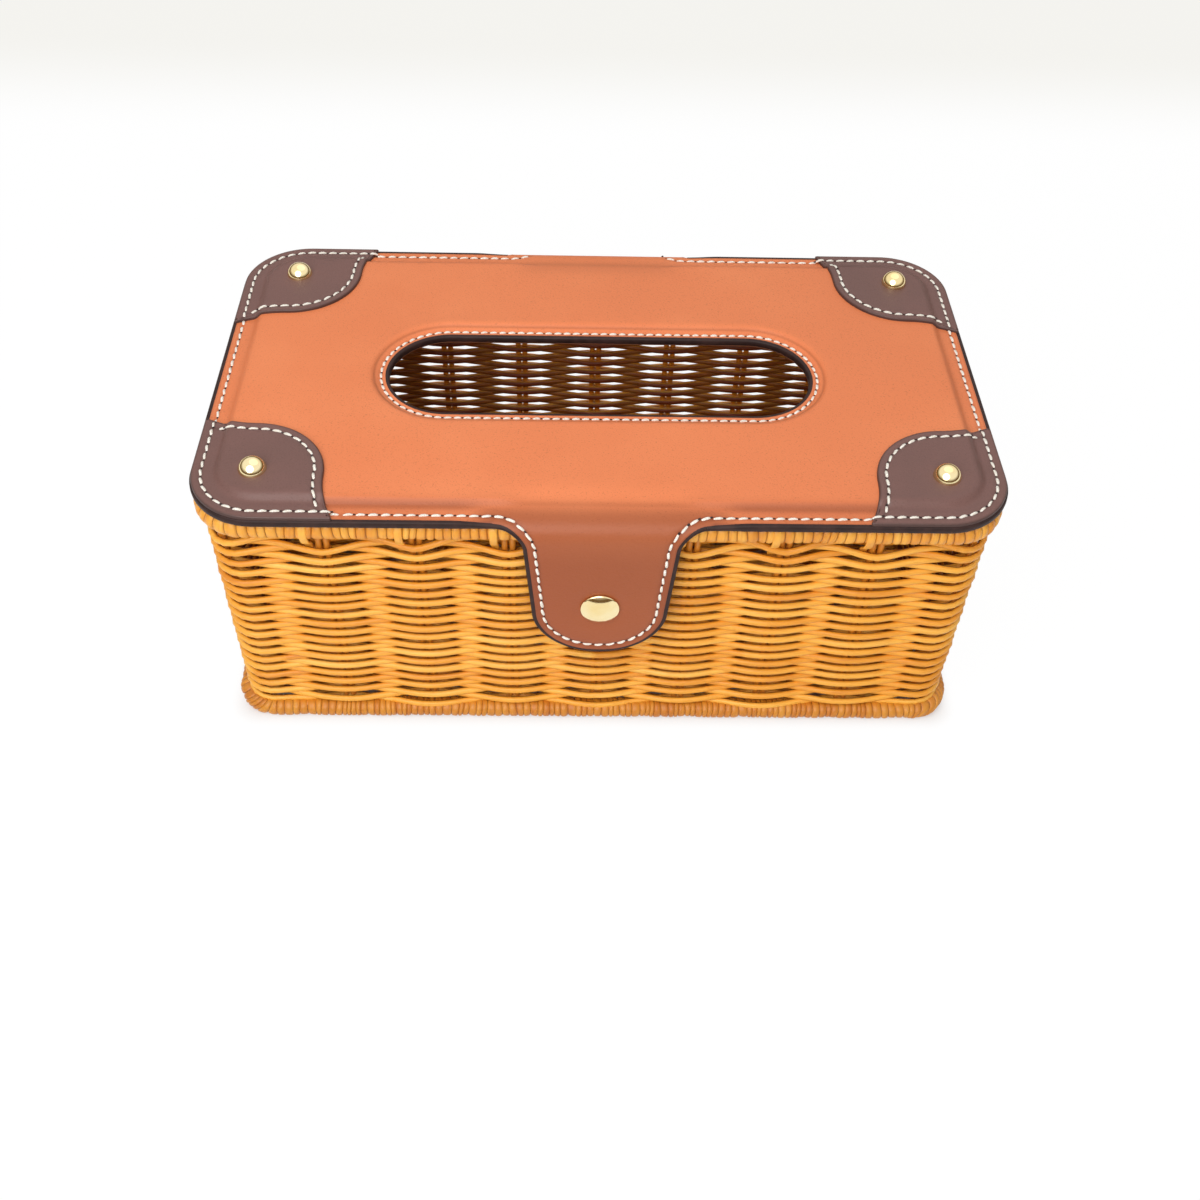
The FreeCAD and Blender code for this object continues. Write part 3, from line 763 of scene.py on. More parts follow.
def tieStrips():
    # A flat strip that comes off the rim's outer side, drops to the weave and tucks in behind its top strand:
    # a rounded section carried down a path of depth and height
    rim, wall = box["rimHalf"], box["wallHalf"]
    stakes = stakeDistances()[:-1]
    point, normal = ringPath(wall, box["wallBend"], stakes)
    isSide = np.abs(normal[:, 0] * normal[:, 1]) < 0.1
    middle, normal = point[isSide], normal[isSide]
    aside = np.stack([normal[:, 1], -normal[:, 0]], -1)  # clockwise, to the left from outside
    rimGap = np.where(np.abs(normal[:, 0]) > 0.5, rim[0] - wall[0], rim[1] - wall[1])
    angle = np.radians(tie["onRim"])
    radius = box["rimRadius"] - 0.15
    depth = np.concatenate([radius * np.cos(angle), tie["depths"]])
    height = np.concatenate([box["topRimHeight"] + radius * np.sin(angle), tie["heights"]])
    knots = np.linspace(0, 1, len(depth))
    t = np.linspace(0, 1, tie["samples"])
    depth, height = np.interp(t, knots, depth), np.interp(t, knots, height)
    soften = np.array([0.25, 0.5, 0.25])
    depth[1:-1] = np.convolve(depth, soften, "valid")
    height[1:-1] = np.convolve(height, soften, "valid")
    run = unit(np.stack([np.gradient(depth), np.gradient(height)], -1))
    face = np.stack([-run[:, 1], run[:, 0]], -1)
    turn = around(tie["sides"])
    wide = squared(np.cos(turn), 0.45) * tie["width"] / 2
    thick = squared(np.sin(turn), 0.7) * tie["thick"] / 2
    out = depth[:, None] + face[:, :1] * thick[None]
    high = height[:, None] + face[:, 1:] * thick[None]
    out = rimGap[:, None, None, None] + out[None, ..., None]
    flat = middle[:, None, None] + normal[:, None, None] * out
    flat = flat + aside[:, None, None] * (box["tieOffset"] + wide)[None, None, :, None]
    shape = np.concatenate([flat, np.broadcast_to(high[None, ..., None], flat.shape[:3] + (1,))], -1)
    faces = tubeFaces(*shape.shape[:3])
    tone = np.broadcast_to(rng.uniform(*tie["tones"], (len(middle), 1, 1)), shape.shape[:3])
    along = (t * 40)[None, :, None] + 90.0 * np.arange(len(middle))[:, None, None]
    strand = np.stack(np.broadcast_arrays(along, wide * 0.3, 0 * wide), -1)
    piece = addPiece("rimTies", shape, faces, caneRattan, strand=strand, tone=tone, groove=0 * tone)
    faceOutwards(piece)
    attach(piece, "basket")
    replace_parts(piece, "rim_ties")


tieStrips()
print("ties made")


# Leather lid with its front tab, one sheet
def edgeDistance(x, y):
    # How far inside the lid's rounded outline a point lies
    qx = np.abs(x) - (lid["half"][0] - lid["corner"])
    qy = np.abs(y) - (lid["half"][1] - lid["corner"])
    outside = np.hypot(np.maximum(qx, 0), np.maximum(qy, 0))
    return lid["corner"] - outside - np.minimum(np.maximum(qx, qy), 0)


def slotDistance(x, y):
    straight = lid["slotHalf"][0] - lid["slotHalf"][1]
    return np.hypot(np.maximum(np.abs(x) - straight, 0), y) - lid["slotHalf"][1]


def rollShare(x):
    # 1 where the sheet rolls over the front rim, easing to 0 beside the tab
    return 1 - step(np.abs(x), tongue["reach"], tongue["reach"] + tongue["rollFade"])


rollEdge = -lid["half"][1]
rollStart = -box["rimHalf"][1]
edgeAngle = math.asin((rollStart - rollEdge) / tongue["rollRadius"])
wallDrop = tongue["rollRadius"] * (math.pi / 2 - edgeAngle)  # length of roll left beyond the lid's edge


def rolled(past, power):
    # Drop and slope at a distance past the rim's middle, on a quarter circle (power 2) or a squarer curve
    radius = tongue["rollRadius"]
    share = past / radius
    rest = 1 - share**power
    return radius - radius * rest ** (1 / power), share ** (power - 1) * rest ** (1 / power - 1)


def sheetBase(x, q):
    # Outer face of the sheet without its panel: flat, rolled about the front and back rims, then hanging
    # in front. q is the plan depth as far as the lid's edge, and the length down the tab beyond it
    radius = tongue["rollRadius"]
    share = rollShare(x)
    frontDrop, frontSlope = rolled(np.clip(rollStart - q, 0, rollStart - rollEdge), 2.0)
    backDrop, backSlope = rolled(np.clip(q + rollStart, 0, 0.8 * radius), tongue["backPower"])
    topZ = lid["border"] - share * (frontDrop + backDrop)
    topNormal = unit(np.stack([0 * x, share * (backSlope - frontSlope), 1 + 0 * x], -1))
    extra = np.maximum(rollEdge - q, 0)
    angle = edgeAngle + np.minimum(extra, wallDrop) / radius
    down = np.maximum(extra - wallDrop, 0)
    tabY = rollStart - radius * np.sin(angle)
    tabZ = box["topRimHeight"] + radius * np.cos(angle) - down
    tabNormal = np.stack([0 * x, -np.sin(angle), np.cos(angle)], -1)
    onTab = (q < rollEdge - 1e-9)[..., None]
    point = np.where(onTab, np.stack([x, tabY, tabZ], -1), np.stack([x, q, topZ], -1))
    return point, np.where(onTab, tabNormal, topNormal)


def tongueHalf(height, tipStart=tongue["tipStart"], tipRise=tongue["tipRise"]):
    # Half width by height: hollow shoulder, tapering side, elliptical tip
    low = tongue["shoulderHeight"] - tongue["shoulder"]
    inset = tongue["shoulder"] ** 2 - np.maximum(height - low, 0) ** 2
    hollow = tongue["reach"] - np.sqrt(np.maximum(inset, 0))
    side = np.interp(height, [tipStart, low], [tongue["low"], tongue["neck"]])
    tip = tongue["low"] * np.sqrt(1 - np.clip((tipStart - height) / tipRise, 0, 1) ** 2)
    return np.where(height > low, hollow, np.where(height > tipStart, side, tip))


tongueRows = {"roll": 9, "side": 26, "tip": 22, "columns": 61}


def tongueDepths():
    # Lengths below the lid's edge of the rows of the tab, closer together towards the tip, and their heights
    roll = np.linspace(0, wallDrop, tongueRows["roll"])[:-1]
    rollZ = box["topRimHeight"] + tongue["rollRadius"] * np.cos(edgeAngle + roll / tongue["rollRadius"])
    sideZ = np.linspace(box["topRimHeight"], tongue["tipStart"], tongueRows["side"])[:-1]
    tipZ = tongue["tipStart"] - tongue["tipRise"] * np.sin(np.linspace(0, math.pi / 2, tongueRows["tip"]))
    hang = np.concatenate([sideZ, tipZ])
    depth = np.concatenate([roll, wallDrop + box["topRimHeight"] - hang])
    return depth, np.concatenate([rollZ, hang])


def patchEdge(t):
    # Inner edge of a corner patch for t from 0 (front end) to 1 (side end), measured from the two lid edges:
    # a round bulge about (c, c) with a flare at both ends
    c, bulge, flare = lid["patchShape"]
    flareRadius = (c**2 + flare**2) / (2 * flare)
    turn = np.clip((t - 0.25) / 0.5, 0, 1) * math.pi / 2
    u = c + bulge * np.cos(turn)
    v = c + bulge * np.sin(turn)
    low = c * np.clip(1 - t / 0.25, 0, 1)
    high = c * np.clip((t - 0.75) / 0.25, 0, 1)
    u = u + flareRadius - np.sqrt(flareRadius**2 - low**2) - high
    v = v + flareRadius - np.sqrt(flareRadius**2 - high**2) - low
    return u, v


def inPatch(x, y):
    # 1 inside one of the four corner patches
    c, bulge, flare = lid["patchShape"]
    flareRadius = (c**2 + flare**2) / (2 * flare)
    u, v = lid["half"][0] - np.abs(x), lid["half"][1] - np.abs(y)

    def limit(w):
        return c + bulge + flareRadius - np.sqrt(flareRadius**2 - np.clip(c - w, 0, c) ** 2)

    bulged = np.hypot(u - c, v - c) < bulge
    inside = np.where(v < c, u < limit(v), np.where(u < c, v < limit(u), bulged))
    return inside.astype(float)


panel = {
    "step": (6.4, 9.4),  # distances from the lid's edge over which the panel rises
    "softStep": (3.0, 16.0),  # the same beside tab and strap
    "slotStep": (2.8, 6.6),  # distances from the slot over which it comes down again
    "sway": (0.18, 0.1),
    "creaseAt": 4.7,
    "creaseDepth": 0.16,
}


def panelLift(x, y):
    # Soft step from the border up to the raised panel, spread out where the sheet runs on into tab and strap
    edge, slot = edgeDistance(x, y), slotDistance(x, y)
    nearTab = (1 - step(np.abs(x), 20.0, 33.0)) * step(np.abs(y), 20.0, 40.0)
    rise = step(edge, *panel["step"]) * (1 - nearTab) + step(edge, *panel["softStep"]) * nearTab
    wide, fine = panel["sway"]
    sway = wide * np.sin(x / 31.0 + 0.7) * np.sin(y / 23.0 + 0.4) + fine * np.sin(x / 13.0 + y / 17.0)
    crease = panel["creaseDepth"] * np.exp(-(((slot - panel["creaseAt"]) / 0.5) ** 2))
    lift = lid["raise"] * rise * step(slot, *panel["slotStep"])
    return lift + sway * rise * step(slot, panel["slotStep"][0], 12.0) - crease


def lidOutline(spacing=0.6):
    # Lid and tab outline in flat coordinates, from the back edge left of the strap round to its right
    half, corner = lid["half"], lid["corner"]
    keys = ringKeys(half, corner)[0]
    reach = tongue["reach"]
    backMiddle = (keys[4] + keys[5]) / 2
    leftRun = np.arange(backMiddle + reach, keys[9] - reach, spacing)
    leftSide = ringPath(half, corner, leftRun)[0]
    depth, height = tongueDepths()
    fine = np.linspace(0, len(depth) - 1, int(depth[-1] * 3))
    depth = np.interp(fine, np.arange(len(depth)), depth)
    height = np.interp(fine, np.arange(len(height)), height)
    width = tongueHalf(height)
    down = np.stack([-width, rollEdge - depth], -1)
    up = np.stack([width[::-1][1:], rollEdge - depth[::-1][1:]], -1)
    rightRun = np.arange(reach + spacing, backMiddle - reach, spacing)
    rightSide = ringPath(half, corner, rightRun)[0]
    return np.concatenate([leftSide, down, up, rightSide])


def evenly(points, pitch):
    # Points at an even pitch along a line of points, half a pitch from its ends
    length = lengthsAlong(points)
    count = max(int(length[-1] / pitch), 2)
    wanted = (np.arange(count) + 0.5) * length[-1] / count
    return np.stack([np.interp(wanted, length, points[:, k]) for k in range(points.shape[1])], -1)


def smoothLine(points, reach):
    # Moving average along an open line
    kernel = np.hanning(2 * reach + 3)[1:-1]
    kernel = kernel / kernel.sum()
    ends = np.repeat(points[:1], reach, 0), np.repeat(points[-1:], reach, 0)
    padded = np.concatenate([ends[0], points, ends[1]])
    return np.stack([np.convolve(padded[:, k], kernel, "valid") for k in range(points.shape[1])], -1)


def insetLine(points, distance):
    # The same line moved to its left by a distance, in the flat sheet
    run = unit(np.gradient(points, axis=0))
    return points + distance * np.stack([-run[:, 1], run[:, 0]], -1)


outline = evenly(lidOutline(), 0.5)
edgeStitch = evenly(smoothLine(insetLine(smoothLine(outline, 2), lid["stitchInset"]), 2), 0.5)
turnIn = np.linspace(0.63, 0.02, 16)  # the seam turns into the strap's shoulders at both ends
turnRadius = tongue["shoulder"] + lid["stitchInset"]
turnIn = np.stack(
    [
        turnRadius * np.sin(turnIn) - tongue["reach"],
        lid["half"][1] + tongue["shoulder"] - turnRadius * np.cos(turnIn),
    ],
    -1,
)
edgeStitch = np.concatenate([turnIn, edgeStitch[3:-3], turnIn[::-1] * [-1, 1]])


def lidTop(x, q):
    # Outer face with the raised panel
    point, normal = sheetBase(x, q)
    return point + np.stack([0 * x, 0 * x, np.where(q < rollEdge, 0, panelLift(x, q))], -1), normal


def slotLine(offset, count=400):
    straight, radius = lid["slotHalf"][0] - lid["slotHalf"][1], lid["slotHalf"][1] + offset
    length = 4 * straight + 2 * math.pi * radius
    along = np.arange(count) / count * length
    return ringPath((straight + radius, radius), radius, along)[0]


def patchStitchLine(sideX, sideY):
    u, v = patchEdge(np.linspace(0, 1, 160))
    edge = np.stack([u, v], -1)
    inner = insetLine(edge, 2.8)
    inner = inner[(inner[:, 0] > 3.6) & (inner[:, 1] > 3.6)]
    return np.stack([sideX * (lid["half"][0] - inner[:, 0]), sideY * (lid["half"][1] - inner[:, 1])], -1)


corners = [(-1, -1), (1, -1), (-1, 1), (1, 1)]
stitchLines = [edgeStitch, slotLine(lid["slotStitch"])] + [patchStitchLine(a, b) for a, b in corners]


def nearest(points, line):
    # Distance in space from every point to a line of points
    flat = points.reshape(-1, 3)
    best = np.full(len(flat), 1e9)
    for part in np.array_split(line, max(len(line) // 150, 1)):
        gap = np.linalg.norm(flat[:, None] - part[None], axis=-1).min(1)
        best = np.minimum(best, gap)
    return best.reshape(points.shape[:-1])


sheetRows = {
    "edge": (
        0, 0.25, 0.6, 1.1, 1.7, 2.2, 2.6, 3.0, 3.4, 3.8, 4.4, 5.2,
        6, 6.6, 7.1, 7.6, 8.1, 8.6, 9.1, 9.7, 10.6, 12, 14,
    ),
    "between": 9,
    "slot": (
        10, 8.4, 7.2, 6.3, 5.6, 5.2, 4.9, 4.7, 4.5, 4.2, 3.8,
        3.4, 3.1, 2.8, 2.5, 2.2, 1.8, 1.2, 0.7, 0.3, 0,
    ),
}


def sheetGrid():
    # Flat grid of the lid: offset lines of the outline, then straight runs, then offset lines of the slot.
    # Its columns meet those of the tab along the lid's front edge
    reach, straight = tongue["reach"], lid["half"][0] - lid["corner"]
    across = np.concatenate(
        [np.linspace(0, reach, tongueRows["columns"] // 2 + 1), np.linspace(reach, straight, 44)[1:]]
    ) / straight
    arc, side = np.linspace(0, 1, 17), np.linspace(0, 1, 41)
    backRun = np.concatenate([-across[::-1], across[1:]]) * 0.5 + 0.5
    t = np.concatenate(
        [
            across,
            1 + arc[1:],
            2 + side[1:],
            3 + arc[1:],
            4 + backRun[1:],
            5 + arc[1:],
            6 + side[1:],
            7 + arc[1:],
            8 + (1 - across[::-1])[1:-1],
        ]
    )
    stops = np.arange(10)
    _, baseX, baseY, turn = ringKeys(lid["half"], lid["corner"])
    angle = np.interp(t, stops, turn)
    base = np.stack([np.interp(t, stops, baseX), np.interp(t, stops, baseY)], -1)
    outward = np.stack([np.cos(angle), np.sin(angle)], -1)
    slotStraight, slotRadius = lid["slotHalf"][0] - lid["slotHalf"][1], lid["slotHalf"][1]
    slotTurn = np.radians([-90, -90, -38, 38, 90, 90, 142, 218, 270, 270])
    slotAngle = np.interp(t, stops, slotTurn)
    slotBase = np.stack([np.interp(t, stops, np.sign(baseX) * slotStraight), 0 * t], -1)
    slotOut = np.stack([np.cos(slotAngle), np.sin(slotAngle)], -1)
    edge = np.array(sheetRows["edge"])[:, None, None]
    slot = np.array(sheetRows["slot"])[:, None, None]
    outer = base[None] + (lid["corner"] - edge) * outward[None]
    inner = slotBase[None] + (slotRadius + slot) * slotOut[None]
    share = np.linspace(0, 1, sheetRows["between"] + 2)[1:-1, None, None]
    middle = outer[-1][None] * (1 - share) + inner[0][None] * share
    flat = np.concatenate([outer, middle, inner])
    # the sheet runs on over the back to where the strap takes over
    short = (1 - step(np.abs(flat[..., 0]), 31.0, 33.0)) * step(flat[..., 1], 66.0, lid["half"][1])
    flat[..., 1] -= (lid["half"][1] - tongue["backStart"]) * short
    u = np.linspace(-1, 1, tongueRows["columns"])
    depth, height = tongueDepths()
    tabX = u[None] * tongueHalf(height)[:, None]
    tab = np.stack(np.broadcast_arrays(tabX, (rollEdge - depth)[:, None]), -1)
    return flat, tab


def freeEdge(x, q):
    # 1 along the lid's own edges, 0 where the sheet runs on into tab or strap
    running = 1 - step(np.abs(x), tongue["reach"] - 4, tongue["reach"] + 1)
    return 1 - running * (np.abs(q) > 40)


sheetMarks = {
    "seam": (0.3, 0.75),  # depth and half width of the groove under a seam
    "edgeDrop": (0.45, 1.1),  # how far the edge is rounded off, and over what width
    "edgeBurnish": 1.6,
    # footAt and roll set painted shade: the darker foot of the panel, and the roll over the front and the tab
    "footAt": (7.4, 1.7),  # place and half width of the darker foot of the panel
    "roll": 0.8,
    "cap": (6.0, 2.6),  # ring pressed in round the snap's cap
}


def seamGroove(points, line):
    depth, width = sheetMarks["seam"]
    return depth * np.exp(-((nearest(points, line) / width) ** 2))


def edgeDrop(edge):
    drop, width = sheetMarks["edgeDrop"]
    return drop * (1 - np.clip(edge / width, 0, 1)) ** 2


def edgeBurnish(edge):
    return 1 - np.clip(edge / sheetMarks["edgeBurnish"], 0, 1)


def leatherSheet():
    # Points, faces and darkening of the outer skin (burnished edges and painted shade): the lid's top and
    # tab, sunk at seams, edges and cap
    flat, tab = sheetGrid()
    ringX, ringQ = flat[..., 0], flat[..., 1]
    top, topNormal = lidTop(ringX, ringQ)
    front, frontNormal = lidTop(tab[..., 0], tab[..., 1])
    lines = np.concatenate([lidTop(line[:, 0], line[:, 1])[0] for line in stitchLines[:2]])
    points = np.concatenate([top.reshape(-1, 3), front.reshape(-1, 3)])
    normals = np.concatenate([topNormal.reshape(-1, 3), frontNormal.reshape(-1, 3)])
    groove = seamGroove(points, lines)
    panelEdge, slotGap = edgeDistance(ringX, ringQ), slotDistance(ringX, ringQ)
    clear = 9  # stands for far from any edge
    edge = np.minimum(panelEdge + clear * (1 - freeEdge(ringX, ringQ)), slotGap)
    depth, height = tongueDepths()
    inFromSide = 1 - np.abs(np.linspace(-1, 1, tongueRows["columns"]))
    tabEdge = inFromSide[None] * tongueHalf(height)[:, None]
    tabEdge = np.minimum(tabEdge, (depth[-1] - depth)[:, None])
    tabEdge[0] = clear
    capGap = np.hypot(front[..., 0], front[..., 2] - tongue["snapHeight"])
    capGap = capGap + 20 * (tab[..., 1] > rollEdge - 8)
    capRing, capWidth = sheetMarks["cap"]
    dent = 0.35 * np.exp(-(((capGap - capRing) / capWidth) ** 2))
    sink = groove + np.concatenate([edgeDrop(edge).ravel(), (edgeDrop(tabEdge) + dent).ravel()])
    points = points - sink[:, None] * normals
    burnish = np.concatenate([edgeBurnish(edge).ravel(), edgeBurnish(tabEdge).ravel()])
    # painted shade: darker colour on the roll over the front, the tab, the panel's foot and a crease along
    # the slot
    forward = 0.3 + 0.7 * step(-ringQ, 20.0, 60.0)
    footAt, footWidth = sheetMarks["footAt"]
    foot = 0.62 * np.exp(-(((panelEdge - footAt) / footWidth) ** 2))
    foot = forward * (foot + 0.22 * (1 - step(panelEdge, 6.0, 9.0)))
    crease = 0.4 * np.exp(-(((slotGap - panel["creaseAt"]) / 0.4) ** 2))
    nearRoll = rollShare(ringX) * step(-ringQ, 58.0, 70.0)
    depths = np.broadcast_to(depth[:, None], tabEdge.shape)
    hang = sheetMarks["roll"] + 0.08 * step(depths, 4.0, 16.0) - 0.02 * step(depths, 20.0, 50.0)
    paintedShade = np.maximum(foot * (1 - nearRoll) + crease, sheetMarks["roll"] * nearRoll)
    paintedShade = np.concatenate([paintedShade.ravel(), hang.ravel()])
    # darker edges, plus painted shade in the seam grooves and the painted shade above
    burnish = np.clip(0.7 * burnish + groove * 1.2 + paintedShade, 0, 1)
    faces = [
        gridFaces(*ringX.shape, closed=True),
        gridFaces(*tab.shape[:2], flip=True, start=ringX.size),
    ]
    return points, faces, burnish


def followTab(piece):
    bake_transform(piece)


def makeLid():
    points, faces, burnish = leatherSheet()
    leather = addPiece("lidLeather", points, faces, tanLeather, merge=True, burnish=burnish)
    thicken(leather, lid["leather"])
    followTab(leather)
    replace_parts(leather, "lid_leather", "tab_leather")

    # Lining: the sheet's inner face, one sheet's thickness in along its normal
    flat, tab = sheetGrid()
    inner = []
    for part in (flat, tab):
        base, normal = sheetBase(part[..., 0], part[..., 1])
        inner.append((base - lid["sheet"] * normal).reshape(-1, 3))
    turned = [f[:, ::-1] for f in faces]
    inner = np.concatenate(inner)
    lining = addPiece("lidLining", inner, turned, liningLeather, merge=True, burnish=0 * burnish)
    thicken(lining, lid["lining"])
    followTab(lining)
    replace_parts(lining, "lid_lining", "tab_lining")


makeLid()
print("lid and tab shaped")


# Painted edges: a rounded section carried along the sheet's outline
edging = {"wide": 0.95, "high": 1.27, "set": 0.35, "slotSet": 0.78, "sides": 14}


def edgeBead(name, centre, normal, closed, inset=edging["set"]):
    # Section points a along the outward side and b along the sheet's normal, as a rounded rectangle
    run = np.roll(centre, -1, 0) - np.roll(centre, 1, 0) if closed else np.gradient(centre, axis=0)
    out = unit(np.cross(unit(run), normal))
    turn = around(edging["sides"])
    a = squared(np.cos(turn), 0.7) * edging["wide"] - inset
    b = squared(np.sin(turn), 0.6) * edging["high"]
    shape = centre[:, None] + a[None, :, None] * out[:, None] + b[None, :, None] * normal[:, None]
    size = (1,) + shape.shape[:2]
    piece = addPiece(name, shape, [hoopFaces(*size)] if closed else tubeFaces(*size), edgePaint)
    faceOutwards(piece)
    return piece


def sheetMiddle(line):
    # Middle of the sheet's thickness along a flat line, and its normal
    base, normal = sheetBase(line[:, 0], line[:, 1])
    return base - lid["sheet"] / 2 * normal, normal


def paintEdges():
    rim = edgeBead("lidEdgePaint", *sheetMiddle(evenly(smoothLine(outline, 1), 1.0)), False)
    followTab(rim)
    slotRim = edgeBead("slotEdgePaint", *sheetMiddle(slotLine(0, 300)[::-1]), True, edging["slotSet"])
    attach(slotRim, "lid")


paintEdges()
print("edges painted")


# Corner patches: a leather skin over border, step and panel
patchRings = {
    "skirt": ((0.0, -0.25), (0.0, 0.7), (0.16, 1.0), (0.45, 1.15), (0.9, 1.2)),
    "shares": (
        0.95, 0.937, 0.924, 0.911, 0.898, 0.885, 0.872, 0.859, 0.846, 0.83, 0.81, 0.785, 0.76,
        0.73, 0.7, 0.66, 0.62, 0.58, 0.54, 0.49, 0.43, 0.35, 0.26, 0.17, 0.08,
    ),
    "samples": 240,
}


def patchOutline():
    # Closed line round a patch in corner distances: inner edge, then back along the lid's own outline
    u, v = patchEdge(np.linspace(0, 1, 200))
    turn = np.linspace(math.pi, 1.5 * math.pi, 60)
    r = lid["corner"]
    outerU = np.concatenate([np.zeros(30), r + r * np.cos(turn), np.linspace(r, u[0], 30)])
    outerV = np.concatenate([np.linspace(v[-1], r, 30), r + r * np.sin(turn), np.zeros(30)])
    ring = np.concatenate([np.stack([u, v], -1), np.stack([outerU, outerV], -1)])
    length = lengthsAlong(ring)
    wanted = np.arange(patchRings["samples"]) / patchRings["samples"] * length[-1]
    ring = np.stack([np.interp(wanted, length, ring[:, k]) for k in (0, 1)], -1)
    kernel = np.array([0.1, 0.2, 0.4, 0.2, 0.1])
    padded = np.concatenate([ring[-2:], ring, ring[:2]])
    return np.stack([np.convolve(padded[:, k], kernel, "valid") for k in (0, 1)], -1)


def makePatch(word, sideX, sideY):
    # Rings of points run in from the outline to the rivet,
    # and the skin lies the leather's thickness above the lid
    ring = patchOutline()
    run = unit(np.roll(ring, -1, 0) - np.roll(ring, 1, 0))
    inward = np.stack([-run[:, 1], run[:, 0]], -1)
    centre = np.array([lid["rivetInset"]] * 2)
    rows = [ring + inset * inward for inset, _ in patchRings["skirt"]]
    rows += [centre + (ring - centre) * share for share in patchRings["shares"]]
    lifts = [lift for _, lift in patchRings["skirt"]] + [lid["patch"]] * len(patchRings["shares"])
    grid = np.stack(rows)
    x = sideX * (lid["half"][0] - grid[..., 0])
    y = sideY * (lid["half"][1] - grid[..., 1])
    top, _ = lidTop(x, y)
    top[..., 2] += np.array(lifts)[:, None]
    lines = [patchStitchLine(sideX, sideY), edgeStitch]
    seam = np.concatenate(lines)
    seam = np.column_stack([seam, lidTop(seam[:, 0], seam[:, 1])[0][:, 2] + lid["patch"]])
    groove = seamGroove(top, seam)
    groove[:3] = 0
    top[..., 2] -= groove
    flat = [sideX, sideY] * (np.array(lid["half"]) - centre)
    middle = np.append(flat, top[-1, :, 2].mean())[None]
    count, columns = grid.shape[:2]
    flip = sideX * sideY < 0
    faces = gridFaces(count, columns, closed=True, flip=flip)
    final = np.arange(columns) + (count - 1) * columns
    fan = np.stack([final, np.roll(final, -1), np.full(columns, count * columns)], -1)
    burnish = np.zeros((count, columns))
    # the skirt rows take the darker tone of the patch's cut edge; the seam grooves get painted shade
    burnish[:4] = np.array([1.0, 1.0, 0.8, 0.35])[:, None]
    burnish = np.append(np.clip(burnish + groove * 1.2, 0, 1).ravel(), 0)
    points = np.concatenate([top.reshape(-1, 3), middle])
    faces = [faces, fan[:, ::-1] if flip else fan]
    piece = addPiece("cornerPatch" + word, points, faces, brownLeather, burnish=burnish)
    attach(piece, "lid")
    return piece


for word, node, sides in (
    ("FrontLeft", "corner_patch_front_left", (-1, -1)),
    ("FrontRight", "corner_patch_front_right", (1, -1)),
    ("BackLeft", "corner_patch_back_left", (-1, 1)),
    ("BackRight", "corner_patch_back_right", (1, 1)),
):
    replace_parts(makePatch(word, *sides), node)
print("patches laid")


# Back strap, which carries the lid
strapShape = {
    "tipStart": 76.5,
    "tipRise": 14.0,
    "wallFace": 69.7,
    "slope": (79.2, 87.0),  # heights between which it comes in from the rim to the wall
    "rivet": (9.0, 73.72),
}
strapRows = {"fold": 14, "side": 16, "tip": 20, "columns": 49}


def strapLine():
    # Depth and height of the strap's outer face from the lid's back edge over the rim and down to the tip
    s, radius, power = strapShape, tongue["rollRadius"], tongue["backPower"]
    begin = math.asin(((tongue["backStart"] + rollStart) / radius) ** (power / 2))
    turn = np.linspace(begin, math.pi / 2, strapRows["fold"])[:-1]
    foldY = radius * np.sin(turn) ** (2 / power) - rollStart
    foldZ = box["topRimHeight"] + radius * np.cos(turn) ** (2 / power)
    sideZ = np.linspace(box["topRimHeight"], s["tipStart"], strapRows["side"])[:-1]
    tipZ = s["tipStart"] - s["tipRise"] * np.sin(np.linspace(0, math.pi / 2, strapRows["tip"]))
    hangZ = np.concatenate([sideZ, tipZ])
    hangY = s["wallFace"] + (tongue["face"] - s["wallFace"]) * step(hangZ, *s["slope"])
    return np.concatenate([foldY, hangY]), np.concatenate([foldZ, hangZ])


def strapWidth(z):
    # The shoulder starts at the fold and narrows as on the tab
    top = tongue["shoulderHeight"]
    low = tongueHalf(np.minimum(z, top), strapShape["tipStart"], strapShape["tipRise"])
    return np.where(z > top, tongue["reach"], low)


def strapPoint(x, place):
    # Outer face and normal at a place (row number, fractions allowed) along the strap's line
    y, z = strapLine()
    run = unit(np.stack([np.gradient(y), np.gradient(z)], -1))
    stops = np.arange(len(y))
    py, pz = np.interp(place, stops, y), np.interp(place, stops, z)
    ny, nz = np.interp(place, stops, -run[:, 1]), np.interp(place, stops, run[:, 0])
    normal = unit(np.stack([0 * x, ny, nz], -1))
    return np.stack([x, py, pz], -1), normal


def strapOutline():
    # Half width of the strap at fine places along its line
    z = strapLine()[1]
    place = np.linspace(0, len(z) - 1, 900)
    return place, strapWidth(np.interp(place, np.arange(len(z)), z))


def followStrap(piece):
    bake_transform(piece)


